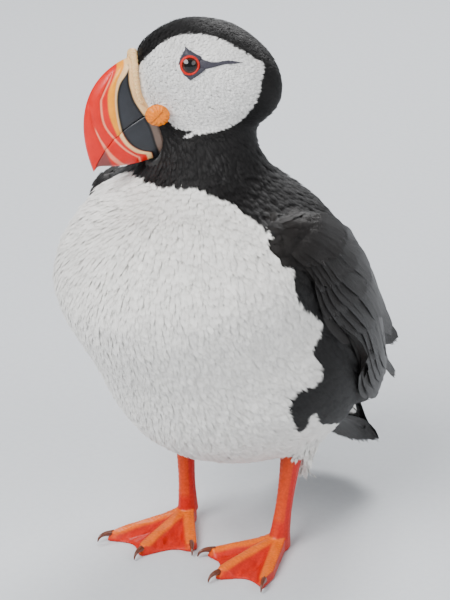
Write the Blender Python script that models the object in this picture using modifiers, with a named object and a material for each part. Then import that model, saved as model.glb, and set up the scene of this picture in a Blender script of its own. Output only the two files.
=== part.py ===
"""Atlantic puffin in summer plumage, life size, standing upright with its head turned to its right.

The bird faces -Y, its left side is +X and +Z is up. The solids follow the outline of the plumage.
Sizes below are in millimetres; MM turns them to metres.
"""

import math

import bmesh
import bpy
from mathutils import Euler, Matrix, Vector

MM = 0.001
GAP = 0.3  # clearance between neighbouring solids

# Standing pose: the sagittal plane is left = 0, and places are (forward, left, up) from the point
# on the ground that lies midway between the two foot joints.
HEAD_AT = (31, 0, 204)  # between the two eyes
HEAD_TURN = 36  # degrees to the bird's right
HEAD_NOD = 22  # degrees of bill below level

# Trunk and neck: rings round the spine, from the rump up to the nape. Each is (forward and up of
# its point on the back, forward and up of its point on the belly, half width, squareness of the
# back), where a squareness of 2 is an ellipse and more is a flatter back.
TRUNK_RINGS = [
    (-62, 44, -52, 32, 12, 2.0),
    (-60, 57, -36, 29, 23, 2.2),
    (-56, 75, -15, 29, 35, 2.5),
    (-49, 94, 13, 33, 46, 2.8),
    (-40, 112, 41, 47, 52, 2.9),
    (-31, 127, 60, 76, 52, 2.9),
    (-24, 139, 81, 111, 54, 2.8),
    (-17, 148, 71, 140, 43, 2.6),
    (-5, 158, 48, 156, 29, 2.3),
    (0, 168, 42, 168, 24, 2.0),
    (3, 181, 39, 180, 21, 2.0),
    (10, 195, 34, 194, 13, 2.0),
]
WIDEST_SHARE = 0.47  # where a ring is widest, from back to belly
PLUMAGE_BLEND = (1.6, 14, 0.03)  # voxel size, smoothing passes, share of faces kept
THIGH_TUFT = [  # behind the left thigh: (forward, left, up, radius)
    (-10, 24, 52, 13),
    (-15, 24, 40, 9),
    (-18, 22, 29, 4.5),
    (-19, 21, 21, 1.2),
]

# Head: rings along the head's own forward axis, from the bill's base to the nape.
# Each is (forward, half width, top, bottom) in the head's frame, whose origin is between the eyes.
HEAD_RINGS = [
    (18, 8, 7, -28),
    (15, 10.5, 10.5, -31),
    (9, 13.8, 13.2, -34),
    (2, 16.6, 14.4, -36),
    (-7, 18.6, 13.4, -37),
    (-15, 18.6, 9.5, -37),
    (-23, 16.5, 3, -36),
    (-29, 12, -6.5, -31),
    (-32, 5, -14.5, -24),
]

EYE_RADIUS = 5.2
EYE_SPREAD = 11.2  # from the sagittal plane to each eye's centre

# Bill outlines in the head's sagittal plane, as Bezier handles (forward, up).
CULMEN = [(13, 8), (29, 11.5), (46.5, 3), (47.5, -26.5)]
MOUTH_LINE = [(13, -13), (27, -12), (39, -17), (46.8, -25.6)]
GONYS = [(15, -31), (27, -34), (39, -29.5), (45.3, -24.8)]
BILL_HALF_WIDTH = 8.0  # at the base, on the mouth line
BILL_TIP_HALF_WIDTH = 1.5
CULMEN_RIDGE = 1.6  # half width of the rounded ridge

ROSETTE_AT = (18, 11, -13)  # fleshy disc at the gape, in the head's frame
ROSETTE_RADIUS = 4.3
ROSETTE_THICKNESS = 2.6

# Tail: a flat, slightly fanned wedge of feathers.
TAIL_ROOT = (-42, 0, 56)
TAIL_TIP = (-75, 0, 15)
TAIL_HALF_WIDTHS = (19, 21, 21, 19, 11)  # from root to tip
TAIL_HALF_THICKNESSES = (11, 7.5, 4, 2, 1)

# Folded left wing: each form is a row of rings from its root to its tip. A ring is (forward, left,
# up, reach to the back edge, reach to the belly edge, thickness outwards, thickness inwards).
WING_FORMS = {
    "coverts": [
        (29, 39, 147, 4, 4, 3, 6),
        (25, 45, 140, 13, 11, 6, 10),
        (9, 49, 125, 22, 18, 7, 14),
        (-10, 48, 109, 26, 21, 7, 16),
        (-28, 43, 92, 25, 25, 6.5, 18),
        (-43, 36, 77, 20, 26, 5.5, 16),
        (-56, 28, 66, 12, 20, 4.5, 12),
        (-66, 21, 58, 4, 7, 2.5, 3),
    ],
    "tertials": [
        (-20, 44, 114, 8, 10, 3, 14),
        (-40, 35, 99, 10, 9, 3.2, 14),
        (-61, 26, 80, 6, 6, 2.4, 8),
        (-83, 20, 61, 1, 1, 1.2, 1.2),
    ],
    "primaries": [
        (-42, 34, 82, 9, 9, 3.4, 10),
        (-62, 23, 64, 7, 7, 2.8, 7),
        (-78, 15, 51, 4.5, 4.5, 2, 2.2),
        (-92, 11, 40, 1, 1, 1.2, 1.2),
    ],
}
WING_WRAP = 50  # radius of the body's side, round which the wing is bent
WING_BLEND = (1.1, 3, 0.024)  # voxel size, smoothing passes, share of faces kept

# Legs: foot joint, leg top, and the toes.
FOOT_JOINT = {"left": (4, 27.5, 9), "right": (8, -17.5, 9)}
LEG_TOP = {"left": (-5, 27, 46), "right": (8, -19, 48)}
LEG_RADII = (3.9, 3.1, 3.2, 3.9, 5.0)  # side to side, from the foot joint up
LEG_DEPTH = 1.25  # fore-and-aft size over side-to-side size
LEG_SINK = 4  # how far the leg runs down into the foot's joint before it is trimmed
FOOT_TURN_IN = {"left": 2, "right": 11}  # degrees towards the other foot
TOES = [  # name, degrees inward, length, half width
    ("outer", -30, 38, 2.5),
    ("middle", 0, 39.5, 2.9),
    ("inner", 32, 30.5, 2.4),
]
WEB_THICKNESS = 1.3
WEB_DIP = 0.17  # how far the web's edge curves in between two toes
SOLE_INSET = 0.5  # from the foot's outline in to the flat sole's edge
HEEL_RADIUS = 4.0
JOINT_HEIGHT = 8.6  # top of the foot at its joint
JOINT_SLOPE = 0.62  # fall of the foot's top away from the joint
CLAW_LENGTH = 7.1
CLAW_RADIUS = 1.55
CLAW_ROOT = 3.2  # how far the claw starts inside the toe's tip
CLAW_HEIGHT = 2.9  # of the claw's root above the ground

# Parting planes of the plumage: a point on each, and the direction towards the tail.
PARTING_PLANES = {
    "head": ((50, 0, 160), (-14, 0, -50)),
    "neck": ((50, 0, 152.5), (3, 0, -50)),
    "tail": ((-50, 0, 46), (-29, 0, -30)),
}

COLOURS = {
    "black_plumage": ("#15130f", 0.75),
    "white_plumage": ("#f4f2ee", 0.8),
    "bill_red": ("#e2401f", 0.35),
    "foot_orange": ("#ee5a1c", 0.45),
    "rosette_orange": ("#f7941d", 0.5),
    "eye_dark": ("#120b08", 0.08),
    "claw_brown": ("#4a2113", 0.4),
}


def at(forward, left, up):
    """A point of the standing bird, in metres of the world."""
    return Vector((left, -forward, up)) * MM


def hex_to_linear(code):
    channels = [int(code[i : i + 2], 16) / 255 for i in (1, 3, 5)]
    return [c / 12.92 if c <= 0.04045 else ((c + 0.055) / 1.055) ** 2.4 for c in channels] + [1]


def make_materials():
    made = {}
    for name, (code, roughness) in COLOURS.items():
        material = bpy.data.materials.new(name)
        material.use_nodes = True
        shader = material.node_tree.nodes["Principled BSDF"]
        shader.inputs["Base Color"].default_value = hex_to_linear(code)
        shader.inputs["Roughness"].default_value = roughness
        material.diffuse_color = hex_to_linear(code)
        made[name] = material
    return made


def add_object(name, mesh, collection, material=None, parent=None):
    obj = bpy.data.objects.new(name, mesh)
    collection.objects.link(obj)
    if material:
        mesh.materials.clear()
        mesh.materials.append(material)
    obj.parent = parent
    return obj


def add_frame(name, location, rotation, collection):
    frame = bpy.data.objects.new(name, None)
    frame.location, frame.rotation_euler = location, rotation
    collection.objects.link(frame)
    return frame


def through(rows, steps):
    """Rows of numbers read from a smooth Catmull-Rom curve through the given rows."""
    rows = [Vector(row) for row in rows]
    ends = [2 * rows[0] - rows[1], *rows, 2 * rows[-1] - rows[-2]]
    found = []
    for a, b, c, d in zip(ends, ends[1:], ends[2:], ends[3:]):
        for k in range(steps):
            t = k / steps
            square, cube = 2 * a - 5 * b + 4 * c - d, 3 * b - a - 3 * c + d
            found.append((2 * b + (c - a) * t + square * t**2 + cube * t**3) / 2)
    return found + [rows[-1]]


def bezier(handles, t):
    a, b, c, d = (Vector(h) for h in handles)
    return (1 - t) ** 3 * a + 3 * t * (1 - t) ** 2 * b + 3 * t**2 * (1 - t) * c + t**3 * d


def loft_mesh(name, rings):
    """A closed surface through rings of equally many points, each end closed by a fan."""
    bm = bmesh.new()
    loops = [[bm.verts.new(p) for p in ring] for ring in rings]
    for low, high in zip(loops, loops[1:]):
        for i in range(len(low)):
            j = (i + 1) % len(low)
            bm.faces.new((low[i], low[j], high[j], high[i]))
    for loop, turned in ((loops[0], True), (loops[-1], False)):
        centre = bm.verts.new(sum((v.co for v in loop), Vector()) / len(loop))
        for i in range(len(loop)):
            j = (i + 1) % len(loop)
            bm.faces.new((loop[j], loop[i], centre) if turned else (loop[i], loop[j], centre))
    bmesh.ops.recalc_face_normals(bm, faces=bm.faces)
    mesh = bpy.data.meshes.new(name)
    bm.to_mesh(mesh)
    bm.free()
    return mesh


def oval(centre, across, over, half_width, half_over, half_under, sides, squareness=2):
    """A ring of points: an ellipse whose two halves reach unlike distances along the direction over.

    A squareness above 2 gives the half on that side fuller corners.
    """
    points = []
    for i in range(sides):
        x, y = math.cos(2 * math.pi * i / sides), math.sin(2 * math.pi * i / sides)
        reach = half_over if y > 0 else half_under
        if y > 0:
            norm = (abs(x) ** squareness + y**squareness) ** (1 / squareness)
            x, y = x / norm, y / norm
        points.append(centre + across * half_width * x + over * reach * y)
    return points


def evaluated_mesh(obj):
    bpy.context.view_layer.update()
    graph = bpy.context.evaluated_depsgraph_get()
    return bpy.data.meshes.new_from_object(obj.evaluated_get(graph), depsgraph=graph)


def swollen(obj, name, distance, collection):
    """A hidden copy of a solid, grown by a distance along its normals, that cuts its neighbours."""
    mesh = evaluated_mesh(obj)
    mesh.transform(obj.matrix_world)
    pushes = [v.normal * distance * MM for v in mesh.vertices]
    for vertex, push in zip(mesh.vertices, pushes):
        vertex.co += push
    return hidden(add_object(name, mesh, collection))


def hidden(obj):
    obj.hide_render = True
    obj.display_type = "WIRE"
    return obj


def cut(obj, *cutters):
    for cutter in cutters:
        modifier = obj.modifiers.new("Cut " + cutter.name, "BOOLEAN")
        modifier.operation, modifier.solver, modifier.object = "DIFFERENCE", "EXACT", cutter


def half_space(name, point, normal, collection):
    """A large box that fills the side of a plane to which the normal points."""
    side = 400 * MM
    bm = bmesh.new()
    bmesh.ops.create_cube(bm, size=side)
    bmesh.ops.translate(bm, verts=bm.verts, vec=(0, 0, side / 2))
    mesh = bpy.data.meshes.new(name)
    bm.to_mesh(mesh)
    bm.free()
    turn = Vector((0, 0, 1)).rotation_difference(normal.normalized()).to_matrix().to_4x4()
    mesh.transform(Matrix.Translation(point) @ turn)
    return hidden(add_object(name, mesh, collection))


# ---- plumage of head, neck, trunk and tail, modelled whole ----


def trunk_mesh():
    rings = []
    for back_forward, back_up, belly_forward, belly_up, width, squareness in through(TRUNK_RINGS, 3):
        back, belly = at(back_forward, 0, back_up), at(belly_forward, 0, belly_up)
        centre = back.lerp(belly, WIDEST_SHARE)
        dorsal = (back - belly).normalized()
        sizes = (width * MM, (back - centre).length, (belly - centre).length)
        rings.append(oval(centre, Vector((1, 0, 0)), dorsal, *sizes, 24, squareness))
    return loft_mesh("Trunk form", rings)


def head_mesh():
    rings = []
    for forward, width, top, bottom in through(HEAD_RINGS, 3):
        middle = (top + bottom) / 2 * MM
        half = (top - bottom) / 2 * MM
        centre = Vector((forward * MM, 0, middle))
        rings.append(oval(centre, Vector((0, 1, 0)), Vector((0, 0, 1)), width * MM, half, half, 24))
    return loft_mesh("Head form", rings)


def tail_mesh():
    root, tip = at(*TAIL_ROOT), at(*TAIL_TIP)
    along = (tip - root).normalized()
    across = Vector((1, 0, 0))
    upper = across.cross(along).normalized()
    rows = through(list(zip(TAIL_HALF_WIDTHS, TAIL_HALF_THICKNESSES)), 2)
    rings = []
    for i, (width, thickness) in enumerate(rows):
        centre = root.lerp(tip, i / (len(rows) - 1))
        rings.append(oval(centre, across, upper, width * MM, thickness * MM, thickness * MM, 16))
    return loft_mesh("Tail form", rings)


def thigh_tuft_mesh():
    """Loose feathers that hang behind the left thigh."""
    across, over = Vector((1, 0, 0)), Vector((0, 1, 0))
    rings = []
    for forward, left, up, radius in through(THIGH_TUFT, 3):
        rings.append(oval(at(forward, left, up), across, over, *[radius * MM] * 3, 16))
    return loft_mesh("Thigh tuft", rings)


def grown_together(name, meshes, forms, voxel, smoothings, kept_share):
    """Overlapping closed meshes grown into one smooth closed surface, as a hidden form."""
    whole = bmesh.new()
    for mesh in meshes:
        whole.from_mesh(mesh)
    mesh = bpy.data.meshes.new(name)
    whole.to_mesh(mesh)
    whole.free()
    form = hidden(add_object(name, mesh, forms))
    grow = form.modifiers.new("Grow together", "REMESH")
    grow.mode, grow.voxel_size = "VOXEL", voxel * MM
    smooth = form.modifiers.new("Smooth", "SMOOTH")
    smooth.factor, smooth.iterations = 0.5, smoothings
    thin = form.modifiers.new("Thin out", "DECIMATE")
    thin.ratio = kept_share
    return form


def plumage_form(head_frame, forms):
    """Trunk, neck, head and tail as one surface."""
    head = head_mesh()
    head.transform(head_frame.matrix_world)
    meshes = [trunk_mesh(), head, tail_mesh(), thigh_tuft_mesh()]
    return grown_together("Plumage form", meshes, forms, *PLUMAGE_BLEND)


# ---- head pieces, in the head's frame ----


def bill_mesh(name, edge, ridge, sign):
    """One half of the bill, ruled from its cutting edge out to its ridge. Sign is 1 above and -1 below."""
    steps, across = 12, 4
    rings = []
    for i in range(steps + 1):
        t = i / steps
        inner, outer = bezier(edge, t), bezier(ridge, t)
        inner = inner + Vector((0, sign * GAP / 2))
        width = BILL_HALF_WIDTH + (BILL_TIP_HALF_WIDTH - BILL_HALF_WIDTH) * t**0.9
        crest = min(CULMEN_RIDGE, 0.75 * width) * (1 - 0.55 * t)
        side = []
        for k in range(across + 1):
            v = k / across
            half = crest + (width - crest) * math.sqrt(max(0.0, 1 - v**1.9))
            place = inner.lerp(outer, v * 0.97)
            side.append((place, half))
        left = [Vector((p.x, half, p.y)) * MM for p, half in side]
        right = [Vector((p.x, -half, p.y)) * MM for p, half in reversed(side)]
        top = Vector((outer.x, 0, outer.y)) * MM
        rings.append(left + [top] + right)
    return loft_mesh(name, rings)


def ball_mesh(name, centre, radii, segments, ring_count):
    """An ellipsoid about a point of the head's frame."""
    bm = bmesh.new()
    bmesh.ops.create_uvsphere(bm, u_segments=segments, v_segments=ring_count, radius=1)
    mesh = bpy.data.meshes.new(name)
    bm.to_mesh(mesh)
    bm.free()
    mesh.transform(Matrix.Translation(Vector(centre) * MM) @ Matrix.Diagonal(Vector((*radii, 1000)) * MM))
    return mesh


# ---- wings ----


def wing_form_mesh(name, rows, sign):
    """One leaf-shaped form of a folded wing, bent round the body's side. Sign is 1 on the left."""
    rows = through(rows, 2)
    rings = []
    for i, (forward, left, up, back, belly, outer, inner) in enumerate(rows):
        before, after = rows[max(i - 1, 0)], rows[min(i + 1, len(rows) - 1)]
        along = (at(*after[:3]) - at(*before[:3])).normalized()
        outward = Vector((1, forward * -0.012, 0.25))
        outward = (outward - outward.project(along)).normalized()
        over = along.cross(outward).normalized()
        if over.y < 0:
            over = -over
        centre = at(forward, left, up)
        ring = []
        for p in oval(centre, outward, over, 1, back * MM, belly * MM, 18):
            depth, reach = (p - centre).dot(outward), (p - centre).dot(over)
            thickness = outer if depth > 0 else inner
            p += outward * (depth * (thickness * MM - 1) - reach**2 / (2 * WING_WRAP * MM))
            ring.append(Vector((p.x * sign, p.y, p.z)))
        rings.append(ring)
    return loft_mesh(name, rings)


def wing_solid(side, forms):
    """The whole folded wing: its forms grown into one closed surface."""
    sign = 1 if side == "left" else -1
    meshes = [wing_form_mesh(name, rows, sign) for name, rows in WING_FORMS.items()]
    return grown_together("Wing form " + side, meshes, forms, *WING_BLEND)


# ---- legs and feet ----


def leg_mesh(side):
    low, high = at(*FOOT_JOINT[side]), at(*LEG_TOP[side])
    low = low - (high - low).normalized() * LEG_SINK * MM
    along = (high - low).normalized()
    across = Vector((1, 0, 0))
    fore = across.cross(along).normalized()
    radii = [row[0] for row in through([(r, 0) for r in LEG_RADII], 2)]
    rings = []
    for i, radius in enumerate(radii):
        centre = low.lerp(high, i / (len(radii) - 1))
        size = radius * MM
        rings.append(oval(centre, across, fore, size, size * LEG_DEPTH, size * LEG_DEPTH, 12))
    return loft_mesh("Leg", rings)


def toe_angles(side):
    """Each toe as (name, angle about the joint, length, half width); 0 degrees is straight ahead."""
    inward = -1 if side == "left" else 1
    turn = FOOT_TURN_IN[side]
    return [(name, inward * (degrees + turn), length, width) for name, degrees, length, width in TOES]


def foot_reach(toes, degrees):
    """How far the foot's outline lies from the joint at an angle."""
    ordered = sorted(toes, key=lambda toe: toe[1])
    first, last = ordered[0], ordered[-1]
    for low, high in zip(ordered, ordered[1:]):
        if low[1] <= degrees <= high[1]:
            t = (degrees - low[1]) / (high[1] - low[1])
            chord = low[2] * (1 - t) + high[2] * t
            return chord * (1 - WEB_DIP * math.sin(math.pi * t))
    near = first if degrees < first[1] else last
    past = math.radians(min(abs(degrees - near[1]), 360 - abs(degrees - near[1])))
    edge = near[3] / max(math.sin(past), 1e-6)
    return max(HEEL_RADIUS, min(near[2], edge))


def foot_height(toes, degrees, radius):
    """Height of the foot's upper surface: the web, the toes' backs and the rise to the joint."""
    height = WEB_THICKNESS
    for _, angle, length, width in toes:
        off = abs(radius * math.sin(math.radians(min(abs(degrees - angle), 90))))
        girth = width * (1.25 - 0.45 * min(radius / length, 1))
        if off < girth * 1.6:
            knuckle = 1 + 0.1 * math.cos(radius / length * 6 * math.pi)
            crown = 1.55 * girth * knuckle * math.sqrt(max(0, 1 - (off / (girth * 1.6)) ** 2))
            height = max(height, WEB_THICKNESS * 0.6 + crown)
    return max(height, JOINT_HEIGHT - JOINT_SLOPE * radius)


def foot_mesh(side):
    """Three toes and their webs: a fan about the foot joint with a flat sole on the ground."""
    toes = toe_angles(side)
    ordered = sorted(toe[1] for toe in toes)
    fine = [ordered[0] + (ordered[-1] - ordered[0]) * i / 20 for i in range(21)]
    edges = [5, 12, 28, 60]
    angles = [ordered[0] - e for e in reversed(edges)] + fine + [ordered[-1] + e for e in edges]
    gap_left = 360 - (angles[-1] - angles[0])
    angles += [angles[-1] + gap_left * k / 4 for k in (1, 2, 3)]
    joint = at(*FOOT_JOINT[side])
    shares = [0.14, 0.3, 0.48, 0.66, 0.82, 0.95, 1.0]
    bm = bmesh.new()
    top_centre = bm.verts.new((joint.x, joint.y, JOINT_HEIGHT * MM))
    sole_centre = bm.verts.new((joint.x, joint.y, 0))
    columns = []
    for degrees in angles:
        wrapped = (degrees + 180) % 360 - 180
        heading = Vector((math.sin(math.radians(wrapped)), -math.cos(math.radians(wrapped)), 0))
        reach = foot_reach(toes, wrapped)
        top = []
        for share in shares:
            radius = reach * share
            height = foot_height(toes, wrapped, radius)
            if share == 1.0:
                height = WEB_THICKNESS * 0.55
            top.append(bm.verts.new(Vector((joint.x, joint.y, height * MM)) + heading * radius * MM))
        sole = bm.verts.new(Vector((joint.x, joint.y, 0)) + heading * (reach - SOLE_INSET) * MM)
        columns.append((top, sole))
    for i, (top, sole) in enumerate(columns):
        next_top, next_sole = columns[(i + 1) % len(columns)]
        bm.faces.new((top_centre, top[0], next_top[0]))
        for a, b, c, d in zip(top, top[1:], next_top[1:], next_top):
            bm.faces.new((a, b, c, d))
        bm.faces.new((top[-1], sole, next_sole, next_top[-1]))
        bm.faces.new((sole, sole_centre, next_sole))
    bmesh.ops.recalc_face_normals(bm, faces=bm.faces)
    mesh = bpy.data.meshes.new("Foot")
    bm.to_mesh(mesh)
    bm.free()
    return mesh


def claw_mesh(joint, toe):
    """A hooked claw that leaves the toe's tip, rises a little and comes down to the ground."""
    _, angle, length, _ = toe
    heading = Vector((math.sin(math.radians(angle)), -math.cos(math.radians(angle)), 0))
    across = Vector((0, 0, 1)).cross(heading)
    steps = 5
    rings = []
    for i in range(steps + 1):
        t = i / steps
        bend = math.radians(15 - 75 * t)
        ahead = length - CLAW_ROOT + CLAW_LENGTH * math.sin(math.pi / 2 * t)
        height = CLAW_HEIGHT + 0.9 * math.sin(math.pi * t) - 2.2 * t**2
        radius = CLAW_RADIUS * (1 - 0.82 * t)
        centre = Vector((joint.x, joint.y, 0)) + heading * ahead * MM + Vector((0, 0, height * MM))
        over = heading * -math.sin(bend) + Vector((0, 0, math.cos(bend)))
        rings.append(oval(centre, across, over, radius * 0.8 * MM, radius * MM, radius * MM, 8))
    return loft_mesh("Claw", rings)


# ---- the whole bird ----


def stand_on_origin(solids):
    """Move everything so that the solids' box has its bottom centre at the origin."""
    corners = []
    for obj in solids:
        mesh = evaluated_mesh(obj)
        corners += [obj.matrix_world @ v.co for v in mesh.vertices]
        bpy.data.meshes.remove(mesh)
    lows, highs = ([pick(c[axis] for c in corners) for axis in range(3)] for pick in (min, max))
    shift = Vector(((lows[0] + highs[0]) / 2, (lows[1] + highs[1]) / 2, lows[2]))
    for obj in bpy.data.objects:
        if obj.parent is None:
            obj.location -= shift


def add_head_pieces(frame, parts, cutters, paint):
    """Bill, eyes and rosettes. Returns the rooms that they need in the head."""
    bill = []
    for name, ridge, sign in (("bill_upper", CULMEN, 1), ("bill_lower", GONYS, -1)):
        mesh = bill_mesh(name, MOUTH_LINE, ridge, sign)
        bill.append(add_object(name, mesh, parts, paint["bill_red"], frame))
    rooms = [swollen(half, half.name + " room", GAP, cutters) for half in bill]
    for side, sign in (("left", 1), ("right", -1)):
        mesh = ball_mesh("Eye", (0, sign * EYE_SPREAD, 0), [EYE_RADIUS] * 3, 16, 9)
        eye = add_object("eye_" + side, mesh, parts, paint["eye_dark"], frame)
        forward, left, up = ROSETTE_AT
        radii = (ROSETTE_RADIUS, ROSETTE_THICKNESS, ROSETTE_RADIUS)
        mesh = ball_mesh("Rosette", (forward, sign * left, up), radii, 12, 7)
        rosette = add_object("rosette_" + side, mesh, parts, paint["rosette_orange"], frame)
        room = swollen(rosette, "Rosette room " + side, GAP, cutters)
        for half in bill:
            cut(half, room)
        rooms += [swollen(eye, "Eye socket " + side, GAP, cutters), room]
    return rooms


def add_legs(parts, cutters, paint):
    """Legs, feet and claws. Returns the rooms that the legs need in the trunk."""
    rooms = []
    for side in ("left", "right"):
        foot = add_object("foot_" + side, foot_mesh(side), parts, paint["foot_orange"])
        foot_room = swollen(foot, "Foot room " + side, GAP, cutters)
        leg = add_object("leg_" + side, leg_mesh(side), parts, paint["foot_orange"])
        cut(leg, foot_room)
        rooms.append(swollen(leg, "Leg room " + side, GAP, cutters))
        for toe in toe_angles(side):
            mesh = claw_mesh(at(*FOOT_JOINT[side]), toe)
            claw = add_object(f"claw_{side}_{toe[0]}", mesh, parts, paint["claw_brown"])
            cut(claw, foot_room)
    return rooms


def add_plumage(form_mesh, head_rooms, leg_rooms, parts, cutters, paint):
    """Head, neck, trunk and tail, parted from one surface."""
    sides = {}
    for name, (point, towards_tail) in PARTING_PLANES.items():
        point, normal = at(*point), at(*towards_tail).normalized()
        half = normal * GAP / 2 * MM
        sides[name, "above"] = half_space(name + " side above", point + half, -normal, cutters)
        sides[name, "below"] = half_space(name + " side below", point - half, normal, cutters)
    nodes = {
        "head": ([sides["head", "below"], *head_rooms], "black_plumage"),
        "neck": ([sides["head", "above"], sides["neck", "below"]], "black_plumage"),
        "trunk": ([sides["neck", "above"], sides["tail", "below"], *leg_rooms], "white_plumage"),
        "tail": ([sides["tail", "above"]], "black_plumage"),
    }
    for name, (node_cutters, finish) in nodes.items():
        node = add_object(name, form_mesh.copy(), parts, paint[finish])
        cut(node, *node_cutters)


def add_wings(form_mesh, parts, cutters, paint):
    """Wings that lie on the plumage of trunk and tail."""
    body = hidden(add_object("Plumage solid", form_mesh, cutters))
    body_room = swollen(body, "Body room", GAP, cutters)
    for side in ("left", "right"):
        mesh = evaluated_mesh(wing_solid(side, cutters))
        wing = add_object("wing_" + side, mesh, parts, paint["black_plumage"])
        cut(wing, body_room)


def build():
    for obj in list(bpy.data.objects):
        bpy.data.objects.remove(obj)
    parts = bpy.data.collections.new("Atlantic puffin")
    cutters = bpy.data.collections.new("Cutters and forms")
    for collection in (parts, cutters):
        bpy.context.scene.collection.children.link(collection)
    paint = make_materials()
    nod_and_turn = Euler((0, math.radians(HEAD_NOD), -math.radians(90 + HEAD_TURN)))
    head_frame = add_frame("Head frame", at(*HEAD_AT), nod_and_turn, parts)
    bpy.context.view_layer.update()

    form_mesh = evaluated_mesh(plumage_form(head_frame, cutters))
    head_rooms = add_head_pieces(head_frame, parts, cutters, paint)
    leg_rooms = add_legs(parts, cutters, paint)
    add_plumage(form_mesh, head_rooms, leg_rooms, parts, cutters, paint)
    add_wings(form_mesh, parts, cutters, paint)

    solids = [obj for obj in parts.objects if obj.type == "MESH"]
    for obj in solids:
        obj.data.shade_smooth()
    stand_on_origin(solids)


if __name__ == "__main__":
    build()
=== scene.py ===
"""Atlantic puffin in summer plumage: skin, feathers, bill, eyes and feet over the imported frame.

The bird faces -Y, its left side is +X. Lengths are in millimetres and MM turns them to metres.
"""

import math

import bmesh
import bpy
import numpy as np
from mathutils import Euler, Matrix, Vector
from mathutils.bvhtree import BVHTree
from mathutils.kdtree import KDTree


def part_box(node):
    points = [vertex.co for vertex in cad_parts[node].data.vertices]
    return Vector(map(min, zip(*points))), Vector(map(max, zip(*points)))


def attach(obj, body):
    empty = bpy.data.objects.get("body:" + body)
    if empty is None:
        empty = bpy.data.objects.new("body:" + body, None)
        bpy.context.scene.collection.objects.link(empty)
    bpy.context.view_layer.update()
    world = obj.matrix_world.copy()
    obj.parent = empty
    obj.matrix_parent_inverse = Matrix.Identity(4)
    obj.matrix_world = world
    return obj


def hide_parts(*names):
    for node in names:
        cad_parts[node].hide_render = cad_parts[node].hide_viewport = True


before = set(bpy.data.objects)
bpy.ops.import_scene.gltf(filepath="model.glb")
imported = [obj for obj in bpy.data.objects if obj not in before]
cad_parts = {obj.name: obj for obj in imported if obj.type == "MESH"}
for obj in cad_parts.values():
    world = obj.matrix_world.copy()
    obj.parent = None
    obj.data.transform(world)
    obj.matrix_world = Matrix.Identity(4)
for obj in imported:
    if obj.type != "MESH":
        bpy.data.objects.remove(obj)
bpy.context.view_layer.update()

MM = 0.001
MERGE = 0.01  # points of a mesh nearer than this are one
SEED = 7
SIDES = {"left": 1, "right": -1}  # the sign of places on each side

# Pose: places on the body are (forward, left, up) from the ground between the foot joints, and
# places on the head are (forward, left, up) from the point between the eyes.
EYES_ON_BODY = (31, 0, 204)
HEAD_TURN = 36  # degrees to the bird's right
HEAD_NOD = 22  # degrees of bill below level
FOOT_JOINT = {"left": (4, 27.5, 9), "right": (8, -17.5, 9)}
LEG_TOP = {"left": (-5, 27, 46), "right": (8, -19, 48)}
TOE_HEADINGS = {"left": (28, -2, -34), "right": (-19, 11, 43)}  # degrees, towards the bird's left

# Skin
FLESH = ("head", "neck", "trunk", "tail", "wing_left", "wing_right")
HEAD_ORNAMENTS = ("eye_left", "eye_right", "rosette_left", "rosette_right")
SKIN_VOXEL = 1.3
# The skin's colour is darkened as painted shade under the feathers.
SKIN_SHADE = 0.8  # how bright the skin is beside the plumage over it
COAT_DEPTH = {"head": 1.0, "neck": 1.8, "trunk": 2.0, "tail": 1.4, "wing_left": 1.3, "wing_right": 1.3}
BARE_BY_BILL = 2.2  # no feathers grow nearer to the bill's front than this
BILL_ROOT = 22  # how far forward on the head the skin runs on under the bill
BARE_BY_ORNAMENT = 0.3  # nor nearer to a rosette or leg than this
ORNAMENT_DEPTH = 4  # nor inside one of them, down to this depth
MOST_SUNK = 0.3  # the skin goes in by no more than this share of the body's thickness
THIGH_PLUG = (8.2, 37, 52)  # radius, lowest and highest place of the skin over each leg's top
CUFF_END = 29  # how high on the leg the feathers round its top point to

# Plumage outlines, as (forward, up).
FACE_OUTLINE = [  # white cheek, on the head
    (18.6, 4.0), (11.5, 8.2), (3, 10.8), (-5, 9.7), (-10, 7.3), (-14.5, 3.8), (-19.5, -2.4), (-23, -8),
    (-26, -12.2), (-22.6, -16.2), (-19.3, -20.8), (-16.3, -24), (-11, -27.4), (-5.5, -28.6), (1, -27.7),
    (6.5, -26.4), (13.5, -26), (8.5, -24.6), (12.8, -22.4), (15.2, -17), (16, -13), (19.5, -11), (22.5, -8),
    (22.5, -3), (20.5, 1.5),
]
FLANK_OUTLINE = [  # black back and wing against the white flank, on the body
    (34, 150), (27, 134), (28, 123), (24.6, 115), (12.5, 106), (10.5, 99), (14, 93.5), (8, 84), (9.5, 78.5),
    (17, 77.5), (21, 74), (20, 67), (10, 55.5), (8, 64), (0, 57), (-9, 53), (-30, 43), (-50, 32), (-78, 8),
]
BLACK_BACK_END = (-130, 8), (-130, 240), (34, 240)  # closes the flank outline behind and above the bird
COLLAR_EDGE = (160, 0.0088)  # height of the collar's lower edge in front, and its fall with left squared
CAP_EDGE = 178  # height where the collar's feathers end and the cap's begin
UNDERTAIL = (-57, -8, 24)  # rear end, front end and half breadth of the white under the tail
TUFT_ROOTS = (-17, 22, 41, 11)  # forward, left, highest place and half breadth of the vent tuft's roots

# How the feathers lie and change over the body. A pair of heights is where a change starts and ends.
FLOW_HEIGHTS = (20, 45, 80, 110, 150, 200)
FLOW_FORWARD = (-1, -0.92, -0.75, -0.5, -0.2, 0)  # at each of those heights
FLOW_UP = (-0.15, -0.4, -0.65, -0.85, -1, -1)
WING_FLOW = (-0.74, -0.17, -0.65)  # (forward, left, up) on the left wing
TAIL_FLOW = (-0.63, 0, -0.78)
HEAD_FLOW_HEIGHTS = (166, 184)
COLLAR_TO_BODY = (178, 138)
COLLAR_TO_CAP = (172, 192)
BREAST_TO_BELLY = (125, 60), (60, 15)  # heights, and places forward

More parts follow.
